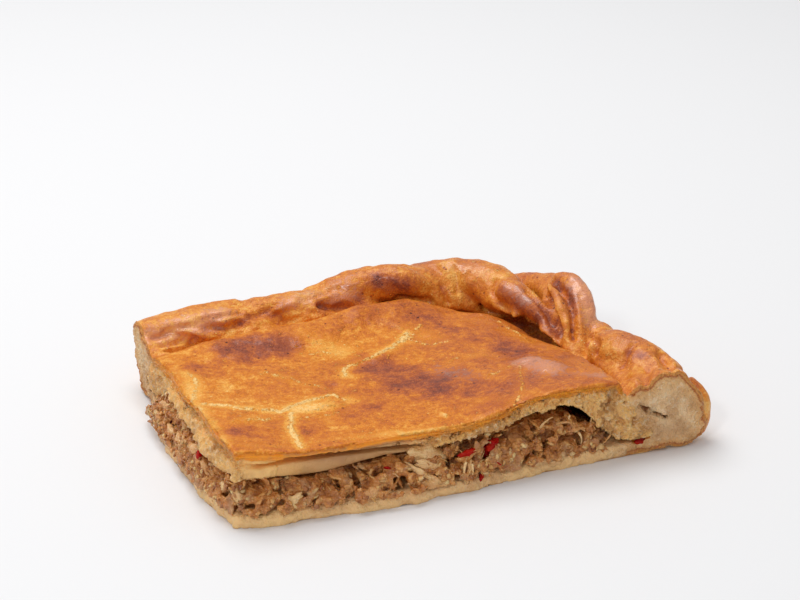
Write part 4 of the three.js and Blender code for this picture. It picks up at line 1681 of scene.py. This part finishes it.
# A strand is a row of pixels, how far behind the front cut it hangs, if it hangs free, and its radius.
STRANDS = [
    ([(596, 405), (600, 413), (598, 421), (603, 430)], 2.0, 0.3),
    ([(590, 408), (594, 418), (588, 428)], 2.6, 0.26),
    ([(606, 407), (603, 416), (607, 426)], 1.8, 0.28),
    ([(556, 424), (566, 421), (577, 425), (585, 431)], 1.6, 0.32),
    ([(578, 432), (583, 437), (581, 444)], 1.2, 0.3),
    ([(612, 432), (607, 441), (600, 446)], 1.4, 0.28),
    ([(540, 428), (545, 420), (553, 417)], 2.2, 0.3),
    ([(570, 415), (566, 424), (570, 433)], 2.6, 0.24),
    ([(440, 476), (436, 484), (439, 490)], None, 0.4),
    ([(466, 462), (462, 474), (466, 484)], None, 0.4),
    ([(472, 464), (474, 474), (470, 483)], None, 0.36),
]
RED_STRANDS = [
    ([(487, 455), (494, 460), (501, 465)], None, 0.34),
    ([(485, 456), (488, 461), (488, 467)], None, 0.3),
    ([(470, 456), (462, 455), (456, 457)], None, 0.3),
]


def plates(rows):
    """A plate for each row, each with a tone of its own."""
    made = []
    for pixel, sink, half_sizes, curl, along, facing in rows:
        made.append(plate(half_sizes, curl, on_nearest(pixel, sink), along, facing, dice.uniform()))
    return made


onions = joined("onion_plates", plates(ONIONS) + [thread(*row) for row in STRANDS])
peppers = joined("pepper_scraps", plates(PEPPERS) + [thread(*row) for row in RED_STRANDS])
print("onion", len(onions.data.polygons), "pepper", len(peppers.data.polygons), "triangles")

# %% [markdown]
# Moist finishes.
# The filling is wet with oil and juice, so it glints, and a little light passes through its edges. Its
# colour is streaked along the fibres and stained in patches, with a painted highlight on ridges and painted
# shade in hollows. One finish with other shades serves fish, onion and pepper, and each loose copy has a
# tone of its own.

# %% Moist finishes
FISH = [
    (0.0, colour(76, 38, 16)),
    (0.25, colour(150, 86, 40)),
    (0.5, colour(198, 126, 62)),
    (0.75, colour(228, 164, 92)),
    (1.0, colour(246, 206, 140)),
]
ONION = [
    (0.0, colour(180, 114, 58)),
    (0.5, colour(231, 170, 107)),
    (1.0, colour(253, 211, 151)),
]
PEPPER = [
    (0.0, colour(96, 6, 4)),
    (0.5, colour(176, 14, 10)),
    (1.0, colour(214, 56, 24)),
]
FISH_STAIN = colour(176, 124, 90)
ONION_STAIN = colour(216, 152, 74)
PEPPER_STAIN = colour(196, 44, 20)
# Piece, base tone, spread of its copies' tones, shades, stain, light inside and wetness.
MOIST = {
    "fish_flake": (flakes, 0.66, 0.7, FISH, FISH_STAIN, 0.2, 0.6),
    "fish_shred": (shreds, 0.64, 0.4, FISH, FISH_STAIN, 0.2, 0.6),
    "fish_mass": (core, 0.54, 0.0, FISH, FISH_STAIN, 0.2, 0.6),
    "stewed_onion": (onions, 0.68, 0.5, ONION, ONION_STAIN, 0.15, 0.6),
    "red_pepper": (peppers, 0.45, 0.3, PEPPER, PEPPER_STAIN, 0.0, 0.12),
}


def moist_finish(name, base, spread, shades, stain, inner_light, wet):
    """A wet, streaky, stained finish, with painted highlights on ridges and painted shade in hollows."""
    finish, place = new_finish(name)
    broad = place.noise(0.006, 2)
    middle = place.noise(0.0022, 3)
    fine = place.noise(0.0006, 3)
    fibre = place.noise(0.0011, 3, (0.4, 0.4, 2.4))
    hollow = place.painted("hollow")
    # Painted shade in hollows and a painted highlight on ridges.
    hollow_shade_ridge_highlight = 0.4 * hollow.step(0.02, 0.8) - 0.32 * (hollow * -1.0).step(0.04, 0.5)
    streaks = 0.3 * broad + 0.24 * middle + 0.18 * fibre + 0.1 * fine
    tone = base + spread * (place.painted("tone") - 0.5) + streaks - hollow_shade_ridge_highlight
    stained = 0.55 * (broad - 0.4 * middle).step(0.0, 0.4)
    close_finish(place.node("ShaderNodeBsdfPrincipled", {}, {
        "Base Color": stained.blend(tone.ramp(shades), stain),
        "Roughness": 0.15 + 0.1 * middle,
        "Specular IOR Level": wet,
        "Subsurface Weight": inner_light,
        "Subsurface Radius": (1.0, 0.55, 0.3),
        "Subsurface Scale": 0.0016,
        "Normal": (0.4 * fibre + 0.4 * fine).bump(0.0006),
    }))
    return finish


for name, (piece, *look) in MOIST.items():
    piece.data.materials.append(moist_finish(name, *look))
print(len(MOIST), "moist finishes")

# %% [markdown]
# Handing over.
# Every piece rides on the part's one body. The worked dough stands for the two dough solids, and the
# filling's core and pieces stand for the filling's solid.

# %% Hand over
for piece, node in ((lid, "lid_crust"), (crust, "base_crust"), (core, "filling")):
    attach(piece, "root")
    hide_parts(node)
for piece in (flakes, shreds, onions, peppers):
    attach(piece, "root")

for piece in (lid, crust, core, flakes, shreds, onions, peppers):
    piece.data.calc_loop_triangles()
    print(piece.name, len(piece.data.loop_triangles), "triangles")
